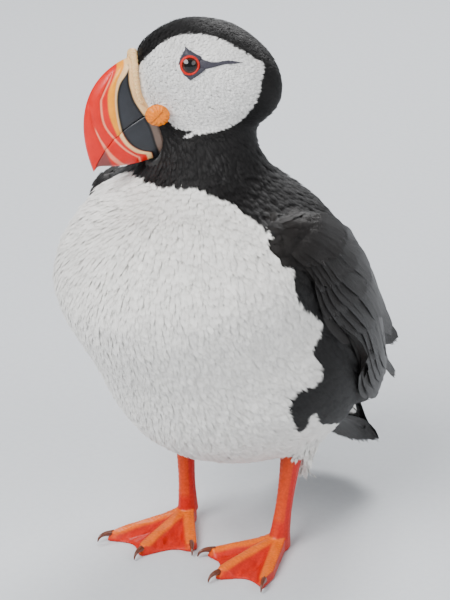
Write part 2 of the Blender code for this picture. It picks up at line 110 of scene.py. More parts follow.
# Bill outlines in the head's middle plane, as Bezier handles (forward, up).
CULMEN = [(13, 8), (29, 11.5), (46.5, 3), (47.5, -26.5)]
MOUTH_LINE = [(13, -13), (27, -12), (39, -17), (46.8, -25.6)]
GONYS = [(15, -31), (27, -34), (39, -29.5), (45.3, -24.8)]
BILL_HALF_WIDTH = 8.0
BILL_TIP_HALF_WIDTH = 1.5
CULMEN_RIDGE = 1.6
MOUTH_GAP = 0.3
BILL_ROWS, BILL_COLUMNS = 230, 84  # points along a bill half, and from the mouth to its ridge on one side

# Edges on the bill's sides: (up, forward) from the culmen down. Feathers end at the cere's rear.
CERE_REAR = [
    (10, 14.6), (7, 16.2), (4, 17.8), (0, 19.2), (-4.5, 20.4), (-8.5, 20.2), (-13, 19.6), (-18, 19.4),
    (-24, 19.6), (-28, 20.4), (-33, 21),
]
PLATE_REAR = [(8, 19), (2, 21.9), (-1.7, 22.8), (-5.6, 23.2), (-9.2, 22.8), (-17, 21.6), (-25.5, 22.2)]
PLATE_FRONT = [
    (6, 20), (4.1, 22.4), (2, 25.6), (-1.4, 28.2), (-6, 30.1), (-10.6, 31.3), (-15.8, 32), (-21.2, 31.1),
    (-25.2, 28.6), (-28, 25),
]
YELLOW_REAR = [
    (8.8, 20.2), (7, 21.5), (5.7, 23.1), (3.5, 25.9), (-0.1, 28.4), (-4.6, 30.4), (-9.6, 31.8), (-13.6, 32.6),
]
YELLOW_FRONT = [(8.8, 22.8), (6.3, 25), (4.1, 27.5), (0.8, 30.7), (-3.7, 32.8), (-8.6, 34), (-15.8, 34.2)]
RED_GROOVE = [
    (6.5, 26), (4.1, 28.7), (0.4, 32.8), (-2.4, 34.9), (-9.9, 36.9), (-17, 35.6), (-23, 33.3), (-28, 30),
]
TIP_GROOVE = [(-2, 39), (-8, 40.4), (-14, 40.6), (-18, 40.2), (-22.3, 39.5), (-26.9, 37.6), (-30, 35.5)]

EYE_RADIUS = 5.2
EYE_SPREAD = 11.2
EYE_AXIS = Vector((0.05, 0.975, 0.2)).normalized()  # where the left eye looks, on the head
LID_RADIUS = 3.2  # from the eye's axis to the middle of the red lid
LID_GIRTH = 0.5
LID_SIDES = 96
LID_SKIRT = (3.75, 4.0, 4.3, 4.6, 4.9, 5.15)  # from the eye's axis to each ring of the lid's skirt
LID_GAP = 0.15  # how far the skirt stands off the ball
CORNEA_WIDTH, CORNEA_RISE = 2.4, 0.35
PUPIL_RADIUS = 2.0
IRIS_RIM = (2.5, 2.9)  # the iris darkens from the first to the second radius
ROSETTE_AT = (18, 11, -13)
ROSETTE_RADIUS = 4.3
ROSETTE_THICKNESS = 2.3
ROSETTE_SLANT = 0.36  # how fast the cheek under a rosette runs in towards the bill

TUFT_TIP = (-19.5, 20.5, 18)  # where the long vent feathers behind the left leg come together
BAKE_PATCH = 0.003  # how far across the skin's unwrap each feather's own patch is
BARB_SPACING = 0.35  # between the fine streaks on a vane
# Plumage by place: spacing, length and half width of a feather, and how far it stands out at its tip
# as a share of the coat's depth.
FEATHER_SIZES = {
    "face": (0.62, 2.8, 0.56, 0.8),
    "cap": (0.8, 4.0, 0.75, 0.9),
    "collar": (1.0, 6.4, 1.0, 0.85),
    "breast": (1.06, 8.2, 1.1, 0.7),
    "belly": (1.12, 9.4, 1.2, 0.75),
    "back": (1.25, 9.2, 1.45, 0.85),
    "wing": (1.6, 7.5, 1.8, 0.9),
    "tail": (1.7, 11, 1.9, 1.0),
    "tuft": (0.72, 10, 1.1, 0.5),
    "cuff": (0.9, 6, 0.8, 0.6),
}

COLOURS = {
    "black": "#0d0b0b",
    "black_wing": "#120e0c",
    "white": "#f3f1ec",
    "face_white": "#eeedea",
    "bill_red": "#d6160a",
    "groove_pale": "#f79a7a",
    "yellow": "#f59a06",
    "cream": "#efc48a",
    "plate": "#292b30",
    "plate_edge": "#080708",
    "lower_tip": "#7e3d3b",
    # painted shade at the base of the lower mandible
    "mandible_base_shade": "#6e5c52",
    "rosette": "#ee7f04",
    "lid": "#cc1a0a",
    "eye_plate": "#3c3b44",
    "leg": "#cc180c",
    "web": "#d8220a",
    "toe": "#ec6a08",
    "iris": "#3a1c0e",
    "claw_dark": "#3a1509",
    "claw_pale": "#7a3a1c",
    "paper_dark": "#c9ccd0",
    "paper_pale": "#d2d5d8",
}


# ---- small helpers ----


def linear(code):
    """An sRGB hex colour as linear red, green, blue and alpha."""
    channels = [int(code[i : i + 2], 16) / 255 for i in (1, 3, 5)]
    return [c / 12.92 if c <= 0.04045 else ((c + 0.055) / 1.055) ** 2.4 for c in channels] + [1]


def paint(name):
    """A named colour as an array of linear red, green and blue."""
    return np.array(linear(COLOURS[name])[:3])


def painted(name, *shape):
    """One named colour for each place of a list or grid."""
    return np.tile(paint(name), (*shape, 1))


def node_centre(name):
    low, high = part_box(name)
    return (Vector(low) + Vector(high)) / 2


EYE_MIDPOINT = (node_centre("eye_left") + node_centre("eye_right")) / 2
GROUND = EYE_MIDPOINT - Vector((EYES_ON_BODY[1], -EYES_ON_BODY[0], EYES_ON_BODY[2])) * MM
HEAD_ROTATION = Euler((0, math.radians(HEAD_NOD), -math.radians(90 + HEAD_TURN))).to_matrix()
HEAD_MATRIX = Matrix.Translation(EYE_MIDPOINT) @ HEAD_ROTATION.to_4x4()
HEAD_AXES = np.array(HEAD_ROTATION)
EYE_SPOT = np.array(EYE_AXIS)[[0, 2]] * EYE_RADIUS  # the middle of an eye's front, as (forward, up)


def on_body(forward, left, up):
    return GROUND + Vector((left, -forward, up)) * MM


def on_head(forward, left, up):
    return HEAD_MATRIX @ (Vector((forward, left, up)) * MM)


def body_axes(rows):
    """Directions in world axes as (forward, left, up) of the body."""
    return np.stack([-rows[:, 1], rows[:, 0], rows[:, 2]], axis=1)


def body_places(points):
    """World points as (forward, left, up) of the body, in millimetres."""
    return body_axes((points - np.array(GROUND)) / MM)


def head_places(points):
    """World points as (forward, left, up) of the head, in millimetres."""
    return (points - np.array(EYE_MIDPOINT)) / MM @ HEAD_AXES


def from_head(rows):
    """Rows of (forward, left, up) on the head as world points."""
    return rows * MM @ HEAD_AXES.T + np.array(EYE_MIDPOINT)


def body_directions(rows):
    """Directions given as (forward, left, up) of the body, in world axes."""
    rows = np.asarray(rows, float)
    return np.stack([rows[:, 1], -rows[:, 0], rows[:, 2]], axis=1)


def unit(vectors):
    return vectors / np.maximum(np.linalg.norm(vectors, axis=-1, keepdims=True), 1e-9)


def square_to(axes, vectors):
    """Directions turned square to some axes."""
    return unit(vectors - (vectors * axes).sum(axis=-1, keepdims=True) * axes)


def step(low, high, values):
    """A smooth rise from 0 at low to 1 at high."""
    t = np.clip((values - low) / (high - low), 0, 1)
    return t * t * (3 - 2 * t)


def mix(first, second, share):
    """What lies between two values, at a share of the way."""
    return first * (1 - share) + second * share


def through(rows, steps):
    """Rows read from a smooth Catmull-Rom curve through the given rows."""
    rows = [np.array(row, float) for row in rows]
    ends = [2 * rows[0] - rows[1], *rows, 2 * rows[-1] - rows[-2]]
    found = []
    for a, b, c, d in zip(ends, ends[1:], ends[2:], ends[3:]):
        for t in np.arange(steps) / steps:
            square, cube = 2 * a - 5 * b + 4 * c - d, 3 * b - a - 3 * c + d
            found.append((2 * b + (c - a) * t + square * t**2 + cube * t**3) / 2)
    return np.array(found + [rows[-1]])


def round_curve(outline, steps):
    """A smooth closed curve through an outline."""
    return through([*outline, outline[0]], steps)[:-1]


def bezier(handles, t):
    a, b, c, d = (np.array(h, float) for h in handles)
    t = np.asarray(t, float)[..., None]
    return (1 - t) ** 3 * a + 3 * t * (1 - t) ** 2 * b + 3 * t**2 * (1 - t) * c + t**3 * d


def inside(outline, x, y):
    """Whether each point (x, y) lies in a closed outline."""
    within = np.zeros(len(x), bool)
    ends = np.roll(outline, -1, axis=0)
    for (x0, y0), (x1, y1) in zip(outline, ends):
        if y0 == y1:
            continue
        crosses = ((y0 > y) != (y1 > y)) & (x < (x1 - x0) * (y - y0) / (y1 - y0) + x0)
        within ^= crosses
    return within


def edge_at(edge, up):
    """Forward place of a plate edge at each height."""
    curve = through(edge, 6)
    order = np.argsort(curve[:, 0])
    return np.interp(up, curve[order, 0], curve[order, 1])


def deselect():
    if bpy.context.object and bpy.context.object.mode != "OBJECT":
        bpy.ops.object.mode_set(mode="OBJECT")
    bpy.ops.object.select_all(action="DESELECT")


def focus(obj):
    deselect()
    obj.select_set(True)
    bpy.context.view_layer.objects.active = obj


def basic_shape(name, add, **settings):
    """A new object from one of the operators that add a basic shape."""
    deselect()
    add(**settings)
    obj = bpy.context.object
    obj.name = name
    return obj


def edit_all(obj):
    """Open a mesh in edit mode with all of it selected."""
    focus(obj)
    bpy.ops.object.mode_set(mode="EDIT")
    bpy.ops.mesh.select_all(action="SELECT")


def modify(obj, kind, **settings):
    """Add a modifier, set it and apply it."""
    focus(obj)
    modifier = obj.modifiers.new(kind.title(), kind)
    for key, value in settings.items():
        setattr(modifier, key, value)
    bpy.ops.object.modifier_apply(modifier=modifier.name)


def add_object(name, data):
    obj = bpy.data.objects.new(name, data)
    bpy.context.scene.collection.objects.link(obj)
    return obj


def mesh_object(name, points, faces):
    mesh = bpy.data.meshes.new(name)
    mesh.from_pydata([tuple(p) for p in points], [], [tuple(f) for f in faces])
    mesh.validate()
    mesh.shade_smooth()
    return add_object(name, mesh)


def ring_faces(rows, size):
    """Faces between neighbouring rows of points, each row a closed ring."""
    faces = []
    for row in range(rows - 1):
        for k in range(size):
            a, b = row * size + k, row * size + (k + 1) % size
            faces.append((a, b, b + size, a + size))
    return faces


def mend_normals(obj, merge=True):
    """Turn a closed shell's faces outwards and shade it smooth, after merging its doubles if asked."""
    bm = bmesh.new()
    bm.from_mesh(obj.data)
    if merge:
        bmesh.ops.remove_doubles(bm, verts=bm.verts, dist=MERGE * MM)
    bmesh.ops.recalc_face_normals(bm, faces=bm.faces)
    bm.to_mesh(obj.data)
    bm.free()
    obj.data.shade_smooth()


def read(rows, attribute, width, kind=float):
    """One attribute of all the rows of a mesh's list, as an array."""
    values = np.empty(len(rows) * width, kind)
    rows.foreach_get(attribute, values)
    return values.reshape(-1, width)


def mesh_points(mesh):
    return read(mesh.vertices, "co", 3)


def mesh_normals(mesh):
    return read(mesh.vertex_normals, "vector", 3)


def set_points(mesh, points):
    mesh.vertices.foreach_set("co", points.ravel())
    mesh.update()


def set_colours(mesh, name, colours):
    """A colour for each point of a mesh, as an attribute that a material reads."""
    attribute = mesh.color_attributes.new(name, "FLOAT_COLOR", "POINT")
    rows = np.concatenate([colours, np.ones((len(colours), 1))], axis=1)
    attribute.data.foreach_set("color", rows.ravel())


def copy_of_nodes(name, nodes):
    """One mesh with copies of CAD solids, their loose triangles merged."""
    bm = bmesh.new()
    for node in nodes:
        bm.from_mesh(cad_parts[node].data)
    bmesh.ops.remove_doubles(bm, verts=bm.verts, dist=MERGE * MM)
    mesh = bpy.data.meshes.new(name)
    bm.to_mesh(mesh)
    bm.free()
    mesh.materials.clear()
    return add_object(name, mesh)


def solid_tree(*nodes):
    """Search tree of some CAD solids, and the node that each of its triangles belongs to."""
    points, faces, owners = [], [], []
    for node in nodes:
        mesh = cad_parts[node].data
        start = len(points)
        points += [v.co.copy() for v in mesh.vertices]
        faces += [[start + i for i in p.vertices] for p in mesh.polygons]
        owners += [node] * len(mesh.polygons)
    return BVHTree.FromPolygons(points, faces), owners


def finish_piece(obj, material, slot, *nodes):
    """Give a piece its material and hide the CAD nodes that it stands for. The slot is not used."""
    obj.data.materials.clear()
    obj.data.materials.append(material)
    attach(obj, "root")
    if nodes:
        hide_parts(*nodes)


# ---- materials ----


def new_material(name, **values):
    """A material whose shader takes the given values, each named for its socket."""
    material = bpy.data.materials.new(name)
    material.use_nodes = True
    for key, value in values.items():
        material.node_tree.nodes["Principled BSDF"].inputs[key.replace("_", " ")].default_value = value
    return material


def add_node(material, kind, settings=(), links=(), feeds=None):
    """Add a shader node: settings by input or attribute name, links by input name.

    feeds names the shader's socket that takes the node's first output.
    """
    tree = material.node_tree
    node = tree.nodes.new(kind)
    for key, value in dict(settings).items():
        if isinstance(key, int) or key in node.inputs:
            node.inputs[key].default_value = value
        else:
            setattr(node, key, value)
    for key, socket in dict(links).items():
        tree.links.new(socket, node.inputs[key])
    if feeds:
        tree.links.new(node.outputs[0], tree.nodes["Principled BSDF"].inputs[feeds])
    return node


def by_place(material, kind, size, **settings):
    """The value of a texture over Object coordinates, its scale from a real size in millimetres."""
    places = add_node(material, "ShaderNodeTexCoord").outputs["Object"]
    return add_node(material, kind, {"Scale": 1 / (size * MM), **settings}, {"Vector": places}).outputs[0]


def shade_colour(material, attribute, value, span, shades):
    """Base colour from the piece's own attribute, shaded as a value goes over a span."""
    colour = add_node(material, "ShaderNodeAttribute", {"attribute_name": attribute}).outputs["Color"]
    limits = dict(zip(("From Min", "From Max", "To Min", "To Max"), (*span, *shades)))
    shade = add_node(material, "ShaderNodeMapRange", limits, {"Value": value}).outputs["Result"]
    shaded = {0: colour, "Scale": shade}
    add_node(material, "ShaderNodeVectorMath", {"operation": "SCALE"}, shaded, "Base Color")


def plumage_material(name, roughness, gloss, sheen, barbs):
    """Feather keratin: matt, with a soft sheen at grazing angles and fine streaks out from each shaft."""
    material = new_material(
        name,
        Roughness=roughness,
        Sheen_Weight=sheen,
        Sheen_Roughness=0.45,
        IOR=1.55,
        Specular_IOR_Level=gloss,
    )
    mottle = by_place(material, "ShaderNodeTexNoise", 6, Detail=3)
    shade_colour(material, "Plumage", mottle, (0.3, 0.7), (0.93, 1.05))
    # Barbs run out from the shaft at an angle; they read as fine streaks.
    math_node = "ShaderNodeMath"
    vane = add_node(material, "ShaderNodeUVMap", {"uv_map": "Vane"}).outputs["UV"]
    places = add_node(material, "ShaderNodeSeparateXYZ", links={"Vector": vane}).outputs
    across = add_node(material, math_node, {"operation": "ABSOLUTE"}, {0: places["X"]}).outputs[0]
    slant = {"operation": "MULTIPLY_ADD", 1: -1.4}
    slanted = add_node(material, math_node, slant, {0: across, 2: places["Y"]}).outputs[0]
    spacing = {"operation": "MULTIPLY", 1: 2 * math.pi / (BARB_SPACING * MM)}
    wave = add_node(material, math_node, spacing, {0: slanted}).outputs[0]
    ridges = add_node(material, math_node, {"operation": "SINE"}, {0: wave}).outputs[0]
    relief = {"Strength": barbs, "Distance": 0.05 * MM}
    add_node(material, "ShaderNodeBump", relief, {"Height": ridges}, "Normal")
    return material


def skin_material():
    """Down and skin between the feathers, in the plumage's colours darkened as painted shade, and dull all
    over.
    """
    material = new_material("Downy skin", Roughness=0.9, Sheen_Weight=0.3)
    add_node(material, "ShaderNodeAttribute", {"attribute_name": "Plumage"}, feeds="Base Color")
    down = by_place(material, "ShaderNodeTexNoise", 0.6, Detail=4)
    add_node(material, "ShaderNodeBump", {"Strength": 0.5, "Distance": 0.2 * MM}, {"Height": down}, "Normal")
    return material


def horn_material():
    """Bill horn: smooth keratin with a satin gloss, faint mottling and small dull scuffs."""
    material = new_material(
        "Bill horn", Roughness=0.34, Coat_Weight=0.06, Coat_Roughness=0.2, IOR=1.55, Specular_IOR_Level=0.3
    )
    mottle = by_place(material, "ShaderNodeTexNoise", 4, Detail=5)
    shade_colour(material, "Horn", mottle, (0.3, 0.7), (0.88, 1.05))
    scuffs = by_place(material, "ShaderNodeTexNoise", 0.9, Detail=6)
    dulled = {"From Min": 0.35, "From Max": 0.75, "To Min": 0.28, "To Max": 0.5}
    add_node(material, "ShaderNodeMapRange", dulled, {"Value": scuffs}, "Roughness")
    relief = {"Strength": 0.25, "Distance": 0.12 * MM}
    add_node(material, "ShaderNodeBump", relief, {"Height": scuffs}, "Normal")
    return material


def skin_of(name, grain, depth, roughness, softness):
    """Bare skin with small rounded grains of a given size, coloured by the piece's own attribute with painted
    shade in the hollows between grains.
    """
    material = new_material(
        name,
        Roughness=roughness,
        Subsurface_Weight=softness,
        Subsurface_Scale=1.2 * MM,
        Subsurface_Radius=(1.0, 0.35, 0.2),
        Specular_IOR_Level=0.3,
    )
    grains = by_place(material, "ShaderNodeTexVoronoi", grain, feature="SMOOTH_F1")
    # Painted shade: each grain is paler in its middle and darker towards the hollows round it.
    shade_colour(material, "Tint", grains, (0.0, 0.7), (1.05, 0.8))
    hollows = {"Strength": 0.6, "Distance": depth * MM, "invert": True}
    add_node(material, "ShaderNodeBump", hollows, {"Height": grains}, "Normal")
    return material


def eye_material(side):
    """A wet eye: black pupil in a dark brown, finely mottled iris, under a clear cornea."""
    material = new_material("Eye " + side, Roughness=0.05, Coat_Weight=0.3, Coat_Roughness=0.02, IOR=1.38)
    mottle = by_place(material, "ShaderNodeTexNoise", 0.4, Detail=2)
    shade_colour(material, "Tint", mottle, (0.3, 0.7), (0.8, 1.25))
    return material


def two_tone_material(name, tones, size, detail, **values):
    """A finish that drifts between the dark and the pale of two tones, over patches of a real size."""
    material = new_material(name, **values)
    drift = by_place(material, "ShaderNodeTexNoise", size, Detail=detail)
    ramp = add_node(material, "ShaderNodeValToRGB", links={"Fac": drift}, feeds="Base Color").color_ramp
    for stop, shade in zip(ramp.elements, ("_dark", "_pale")):
        stop.color = linear(COLOURS[tones + shade])
    return material


# ---- markings ----

FACE_CURVE = round_curve(FACE_OUTLINE, 5)
FACE_MIDDLE = FACE_CURVE.mean(axis=0)
FACE_RIM = FACE_MIDDLE + (FACE_CURVE - FACE_MIDDLE) * 1.12  # small feathers reach this far
FLANK_CURVE = np.concatenate([through(FLANK_OUTLINE, 5), np.array(BLACK_BACK_END)])


def is_face(points, outline=FACE_CURVE):
    """White cheek on either side of the head."""
    head = head_places(points)
    near = (body_places(points)[:, 2] > 160) & (np.abs(head[:, 1]) > 1.5)
    return inside(outline, head[:, 0], head[:, 2]) & near


def is_white_body(points, normals):
    """White breast, belly, flanks and undertail."""
    forward, left, up = body_places(points).T
    below_collar = up < COLLAR_EDGE[0] - COLLAR_EDGE[1] * left**2
    dark_back = inside(FLANK_CURVE, forward, up)
    beneath = body_axes(normals) @ np.array([0.55, 0, -0.83]) > 0.35
    rear, front, half_breadth = UNDERTAIL
    undertail = (forward < front) & (forward > rear) & (np.abs(left) < half_breadth) & beneath
    return below_collar & (~dark_back | undertail)


def plumage_colours(points, normals, regions):
    """The bird's markings: a colour for each point of skin or feather."""
    colours = painted("black", len(points))
    wings = np.char.startswith(regions, "wing")
    colours[wings] = paint("black_wing")
    white = is_white_body(points, normals) & (regions != "head") & ~wings
    colours[white] = paint("white")
    head = head_places(points)
    face = is_face(points)
    greyed = step(-8, -26, head[:, 0]) * 0.12
    colours[face] = (paint("face_white") * (1 - greyed[:, None]))[face]
    return colours


# ---- skin ----


def skin_under_bill():
    """The part of the bill's solids that lies in the head, closed off in front."""
    root = copy_of_nodes("Bill root", ("bill_upper", "bill_lower"))
    edit_all(root)
    forward = HEAD_ROTATION @ Vector((1, 0, 0))
    cut_at = on_head(BILL_ROOT, 0, 0)
    bpy.ops.mesh.bisect(plane_co=cut_at, plane_no=forward, use_fill=True, clear_outer=True)
    bpy.ops.object.mode_set(mode="OBJECT")
    return root


def leg_at(side, height):
    """The middle of a leg at a height, on the body."""
    foot, top = np.array(FOOT_JOINT[side]), np.array(LEG_TOP[side])
    share = (height - foot[2]) / (top[2] - foot[2])
    return foot + (top - foot) * share


def thigh_plug(side):
    """Skin over the top of a leg."""
    radius, low, high = THIGH_PLUG
    centre = on_body(*leg_at(side, (low + high) / 2))
    cylinder = bpy.ops.mesh.primitive_cylinder_add
    plug = basic_shape("Plug", cylinder, radius=radius * MM, depth=(high - low) * MM, location=centre)
    plug.data.transform(plug.matrix_world)
    plug.matrix_world = Matrix.Identity(4)
    return plug


def make_skin():
    """One closed skin under all the plumage, remeshed round the solids; sink_skin later moves it in by the
    coat's depth.
    """
    skin = copy_of_nodes("Skin", FLESH)
    extras = [skin_under_bill(), copy_of_nodes("Ornament roots", HEAD_ORNAMENTS)]
    extras += [thigh_plug(side) for side in SIDES]
    deselect()
    for extra in extras:
        extra.select_set(True)
    skin.select_set(True)
    bpy.context.view_layer.objects.active = skin
    bpy.ops.object.join()
    modify(skin, "REMESH", mode="VOXEL", voxel_size=SKIN_VOXEL * MM)
    modify(skin, "SMOOTH", factor=0.5, iterations=5)
    return skin


def sink_skin(skin, tree, owners):
    """Move the skin in by the coat's depth, less where the body is thin.

    Gives each point's region and depth.
    """
    mesh = skin.data
    points, normals = mesh_points(mesh), mesh_normals(mesh)
    own_tree = BVHTree.FromPolygons([v.co for v in mesh.vertices], [p.vertices for p in mesh.polygons])
    regions, depths = [], []
    for point, normal in zip(points, normals):
        region = owners[tree.find_nearest(Vector(point))[2]]
        start = Vector(point - normal * 0.05 * MM)
        thickness = own_tree.ray_cast(start, Vector(-normal))[3] or 1
        regions.append(region)
        depths.append(min(COAT_DEPTH[region] * MM, thickness * MOST_SUNK))
    depths = np.array(depths)
    for _ in range(3):
        depths = neighbour_mean(mesh, depths)
    set_points(mesh, points - normals * depths[:, None])
    return np.array(regions), depths


def neighbour_mean(mesh, values):
    """Each point's value averaged with those of its neighbours."""
    a, b = read(mesh.edges, "vertices", 2, int).T
    total, count = values.copy(), np.ones(len(values))
    for here, there in ((a, b), (b, a)):
        np.add.at(total, here, values[there])
        np.add.at(count, here, 1)
    return total / count


def unwrap(skin):
    edit_all(skin)
    bpy.ops.uv.smart_project(angle_limit=math.radians(66), island_margin=0.003)
    bpy.ops.object.mode_set(mode="OBJECT")
    skin.data.uv_layers.active.name = "OFBake"


# ---- laying feathers ----


class Skin:
    """What the feathers need to know of the skin: faces, normals, regions, depths and unwrap."""

    def __init__(self, obj, regions, depths):
        mesh = obj.data
        mesh.calc_loop_triangles()
        self.points, self.normals = mesh_points(mesh), mesh_normals(mesh)
        self.regions, self.depths = regions, depths
        self.corners = read(mesh.loop_triangles, "vertices", 3, int)
        loops = read(mesh.loop_triangles, "loops", 3, int)
        self.unwrapped = read(mesh.uv_layers["OFBake"].data, "uv", 2)[loops]
        a, b, c = (self.points[self.corners[:, k]] for k in range(3))
        self.areas = np.linalg.norm(np.cross(b - a, c - a), axis=1) / 2
        self.tree = BVHTree.FromPolygons([Vector(p) for p in self.points], self.corners.tolist())

    def nearest(self, points):
        """Nearest skin to each point: place, smooth normal, coat depth and face."""
        found = [self.tree.find_nearest(Vector(point)) for point in points]
        places = np.array([place for place, _, _, _ in found])
        faces = np.array([face for _, _, face, _ in found])
        corners = self.corners[faces]
        weights = 1 / (np.linalg.norm(self.points[corners] - places[:, None], axis=2) + 1e-6)
        weights /= weights.sum(axis=1, keepdims=True)
        normals = (weights[..., None] * self.normals[corners]).sum(axis=1)
        return places, unit(normals), (weights * self.depths[corners]).sum(axis=1), faces


def feather_pattern(rows, barbs, point=0.65):
    """The outline of a feather: rows of (share of length, share of half width), then barbs at the tip.

    A larger point makes the tip more pointed. Gives each point's share along and across, and the faces,
    each a list of points.
    """
    along, across, faces = [], [], []
    for share, width in rows:
        for k in range(barbs + 1):
            along.append(share)
            across.append((2 * k / barbs - 1) * width)
    for r in range(len(rows) - 1):
        for k in range(barbs):
            a = r * (barbs + 1) + k
            faces.append([a, a + 1, a + barbs + 2, a + barbs + 1])
    last = (len(rows) - 1) * (barbs + 1)
    for k in range(barbs):
        middle = (2 * k + 1) / barbs - 1
        faces.append([last + k, last + k + 1, len(along)])
        along.append(1 - (1 - rows[-1][0]) * point * middle**2)
        across.append(middle * rows[-1][1] * 0.82)
    return np.array(along), np.array(across), faces


def lay_feathers(name, spines, normals, half_widths, lengths, colour_at, roots, pattern, rng, cup, shaft=0):
    """One mesh of many feathers. Each spine is a row of points from root to tip with its normals.

    colour_at takes the points of all the feathers, feather by feather, and gives the colour of each.
    """
    along, across, faces = pattern
    count, samples = spines.shape[:2]
    place = along * (samples - 1)
    low = np.minimum(place.astype(int), samples - 2)
    share = (place - low)[None, :, None]
    centre = mix(spines[:, low], spines[:, low + 1], share)
    normal = unit(mix(normals[:, low], normals[:, low + 1], share))
    tangent = unit(spines[:, low + 1] - spines[:, low])
    side = unit(np.cross(normal, tangent))
    reach = across[None, :, None] * half_widths[:, None, None]
    bowl = (across**2)[None, :, None] * half_widths[:, None, None] * cup
    points = centre + side * reach - normal * bowl
    points += normal * ((across == 0) * shaft * MM * (1 - 0.7 * along))[None, :, None]
    loose = (along > 0.75)[None, :] * rng.normal(0, 0.2, (count, len(along)))
    points += tangent * (loose * half_widths[:, None])[..., None]
    size = len(along)
    starts = np.arange(count)[:, None] * size
    corner_list = np.array([c for face in faces for c in face])
    loops = (starts + corner_list[None]).ravel()
    totals = np.array([len(face) for face in faces])
    loop_starts = np.concatenate([[0], np.cumsum(np.tile(totals, count))[:-1]])
    mesh = bpy.data.meshes.new(name)
    mesh.vertices.add(count * size)
    mesh.vertices.foreach_set("co", points.ravel())
    mesh.loops.add(len(loops))
    mesh.loops.foreach_set("vertex_index", loops)
    mesh.polygons.add(len(loop_starts))
    mesh.polygons.foreach_set("loop_start", loop_starts)
    # Painted shade: each feather is darker towards its root, where the feathers over it shade it.
    shade = 0.86 + 0.14 * along[None, :, None]
    set_colours(mesh, "Plumage", (colour_at(points) * shade).reshape(-1, 3))
    patch = np.stack([across / 2, along - 0.5], axis=1) * BAKE_PATCH
    baked = (roots[:, None] + patch[None]).reshape(-1, 2)
    vane = np.stack([across[None] * half_widths[:, None], along[None] * lengths[:, None]], axis=2)
    for title, places in (("OFBake", baked), ("Vane", vane.reshape(-1, 2))):
        layer = mesh.uv_layers.new(name=title)
        layer.data.foreach_set("uv", places[loops].ravel())
    mesh.update(calc_edges=True)
    mesh.shade_smooth()
    return add_object(name, mesh)


# ---- body plumage ----


def feather_flow(points, regions):
    """The way the feathers lie: back over the head, down the neck and along the body to the tail."""
    forward, left, up = body_places(points).T
    along, down = (np.interp(up, FLOW_HEIGHTS, rates) for rates in (FLOW_FORWARD, FLOW_UP))
    flow = np.stack([along, left * 0.002, down], axis=1)
    for side, sign in SIDES.items():
        flow[regions == "wing_" + side] = np.array(WING_FLOW) * (1, sign, 1)
    flow[regions == "tail"] = TAIL_FLOW
    tuft = is_tuft(points)
    flow[tuft] = unit(np.array(TUFT_TIP) - body_places(points[tuft]))
    for side in SIDES:
        flow = cuffed(flow, body_places(points), side)
    flow = body_directions(flow)
    head = head_places(points)
    fall = step(2, -26, head[:, 2])
    over_head = np.stack([-1 + 0.35 * fall, 0 * fall, -0.22 - 0.45 * fall], axis=1)
    over_head = around_eye(head, over_head) @ HEAD_AXES.T
    weight = (step(*HEAD_FLOW_HEIGHTS, up) * ((regions == "head") | (regions == "neck")))[:, None]
    return mix(unit(flow), unit(over_head), weight)


def cuffed(flow, places, side):
    """Turn the feathers round a leg's top down over the leg."""
    cuff = leg_at(side, CUFF_END)
    beside = np.linalg.norm((places - cuff)[:, :2], axis=1)
    near = (step(15, 9, beside) * (places[:, 2] < 56))[:, None]
    return unit(mix(flow, unit(cuff - places), near))


def is_tuft(points):
    """The tuft of long vent feathers behind the left leg."""
    forward, left, up = body_places(points).T
    middle, side, top, half_breadth = TUFT_ROOTS
    return (up < top) & (np.abs(forward - middle) < half_breadth) & (np.abs(left - side) < half_breadth)


def around_eye(head, flow):
    """Turn a flow on the head aside so that it parts round each eye."""
    beside = head[:, [0, 2]] - EYE_SPOT
    distance = np.maximum(np.linalg.norm(beside, axis=1, keepdims=True), LID_RADIUS)
    outward = beside / distance
    pull = (LID_RADIUS / distance) ** 2
    flat = flow[:, [0, 2]]
    into = (flat * outward).sum(axis=1, keepdims=True)
    flat = flat - 2 * pull * into * outward + pull * flat
    flat[distance[:, 0] > 14] = flow[distance[:, 0] > 14][:, [0, 2]]
    turned = flow.copy()
    turned[:, 0], turned[:, 2] = flat.T
    return turned


def feather_kinds(points, normals, regions):
    """The row of FEATHER_SIZES that each point of the skin takes."""
    up = body_places(points)[:, 2]
    kinds = np.full(len(points), "belly", dtype=object)
    kinds[up > 100] = "breast"
    kinds[~is_white_body(points, normals)] = "back"
    kinds[(regions == "neck") | ((regions == "head") & (up < CAP_EDGE))] = "collar"
    kinds[(regions == "head") & (up >= CAP_EDGE)] = "cap"
    kinds[is_face(points, FACE_RIM)] = "face"
    for top in LEG_TOP.values():
        beside = np.linalg.norm(body_places(points)[:, :2] - np.array(top[:2]), axis=1)
        kinds[(beside < 11) & (up < 50)] = "cuff"
    kinds[is_tuft(points)] = "tuft"
    kinds[np.char.startswith(regions, "wing")] = "wing"
    kinds[regions == "tail"] = "tail"
    return kinds


def feather_sizes(points, kinds):
    """Spacing, length, half width and stand for each place, changing little by little down neck and body."""
    rows = {kind: np.array(row) for kind, row in FEATHER_SIZES.items()}
    sizes = np.array([FEATHER_SIZES[kind] for kind in kinds])
    forward, _, up = body_places(points).T
    down_neck, up_neck = step(*COLLAR_TO_BODY, up)[:, None], step(*COLLAR_TO_CAP, up)[:, None]
    low = (step(*BREAST_TO_BELLY[0], up) * step(*BREAST_TO_BELLY[1], forward))[:, None]
    white = mix(rows["breast"], rows["belly"], low)
    pale = np.isin(kinds, ("breast", "belly"))[:, None]
    sizes = np.where(pale, white, sizes)
    body = np.where(pale, white, rows["back"])
    neck = np.isin(kinds, ("collar", "breast", "back")) & (up > COLLAR_TO_BODY[1])
    sizes = np.where(neck[:, None], mix(rows["collar"], body, down_neck), sizes)
    return np.where((kinds == "cap")[:, None], mix(rows["collar"], rows["cap"], up_neck), sizes)


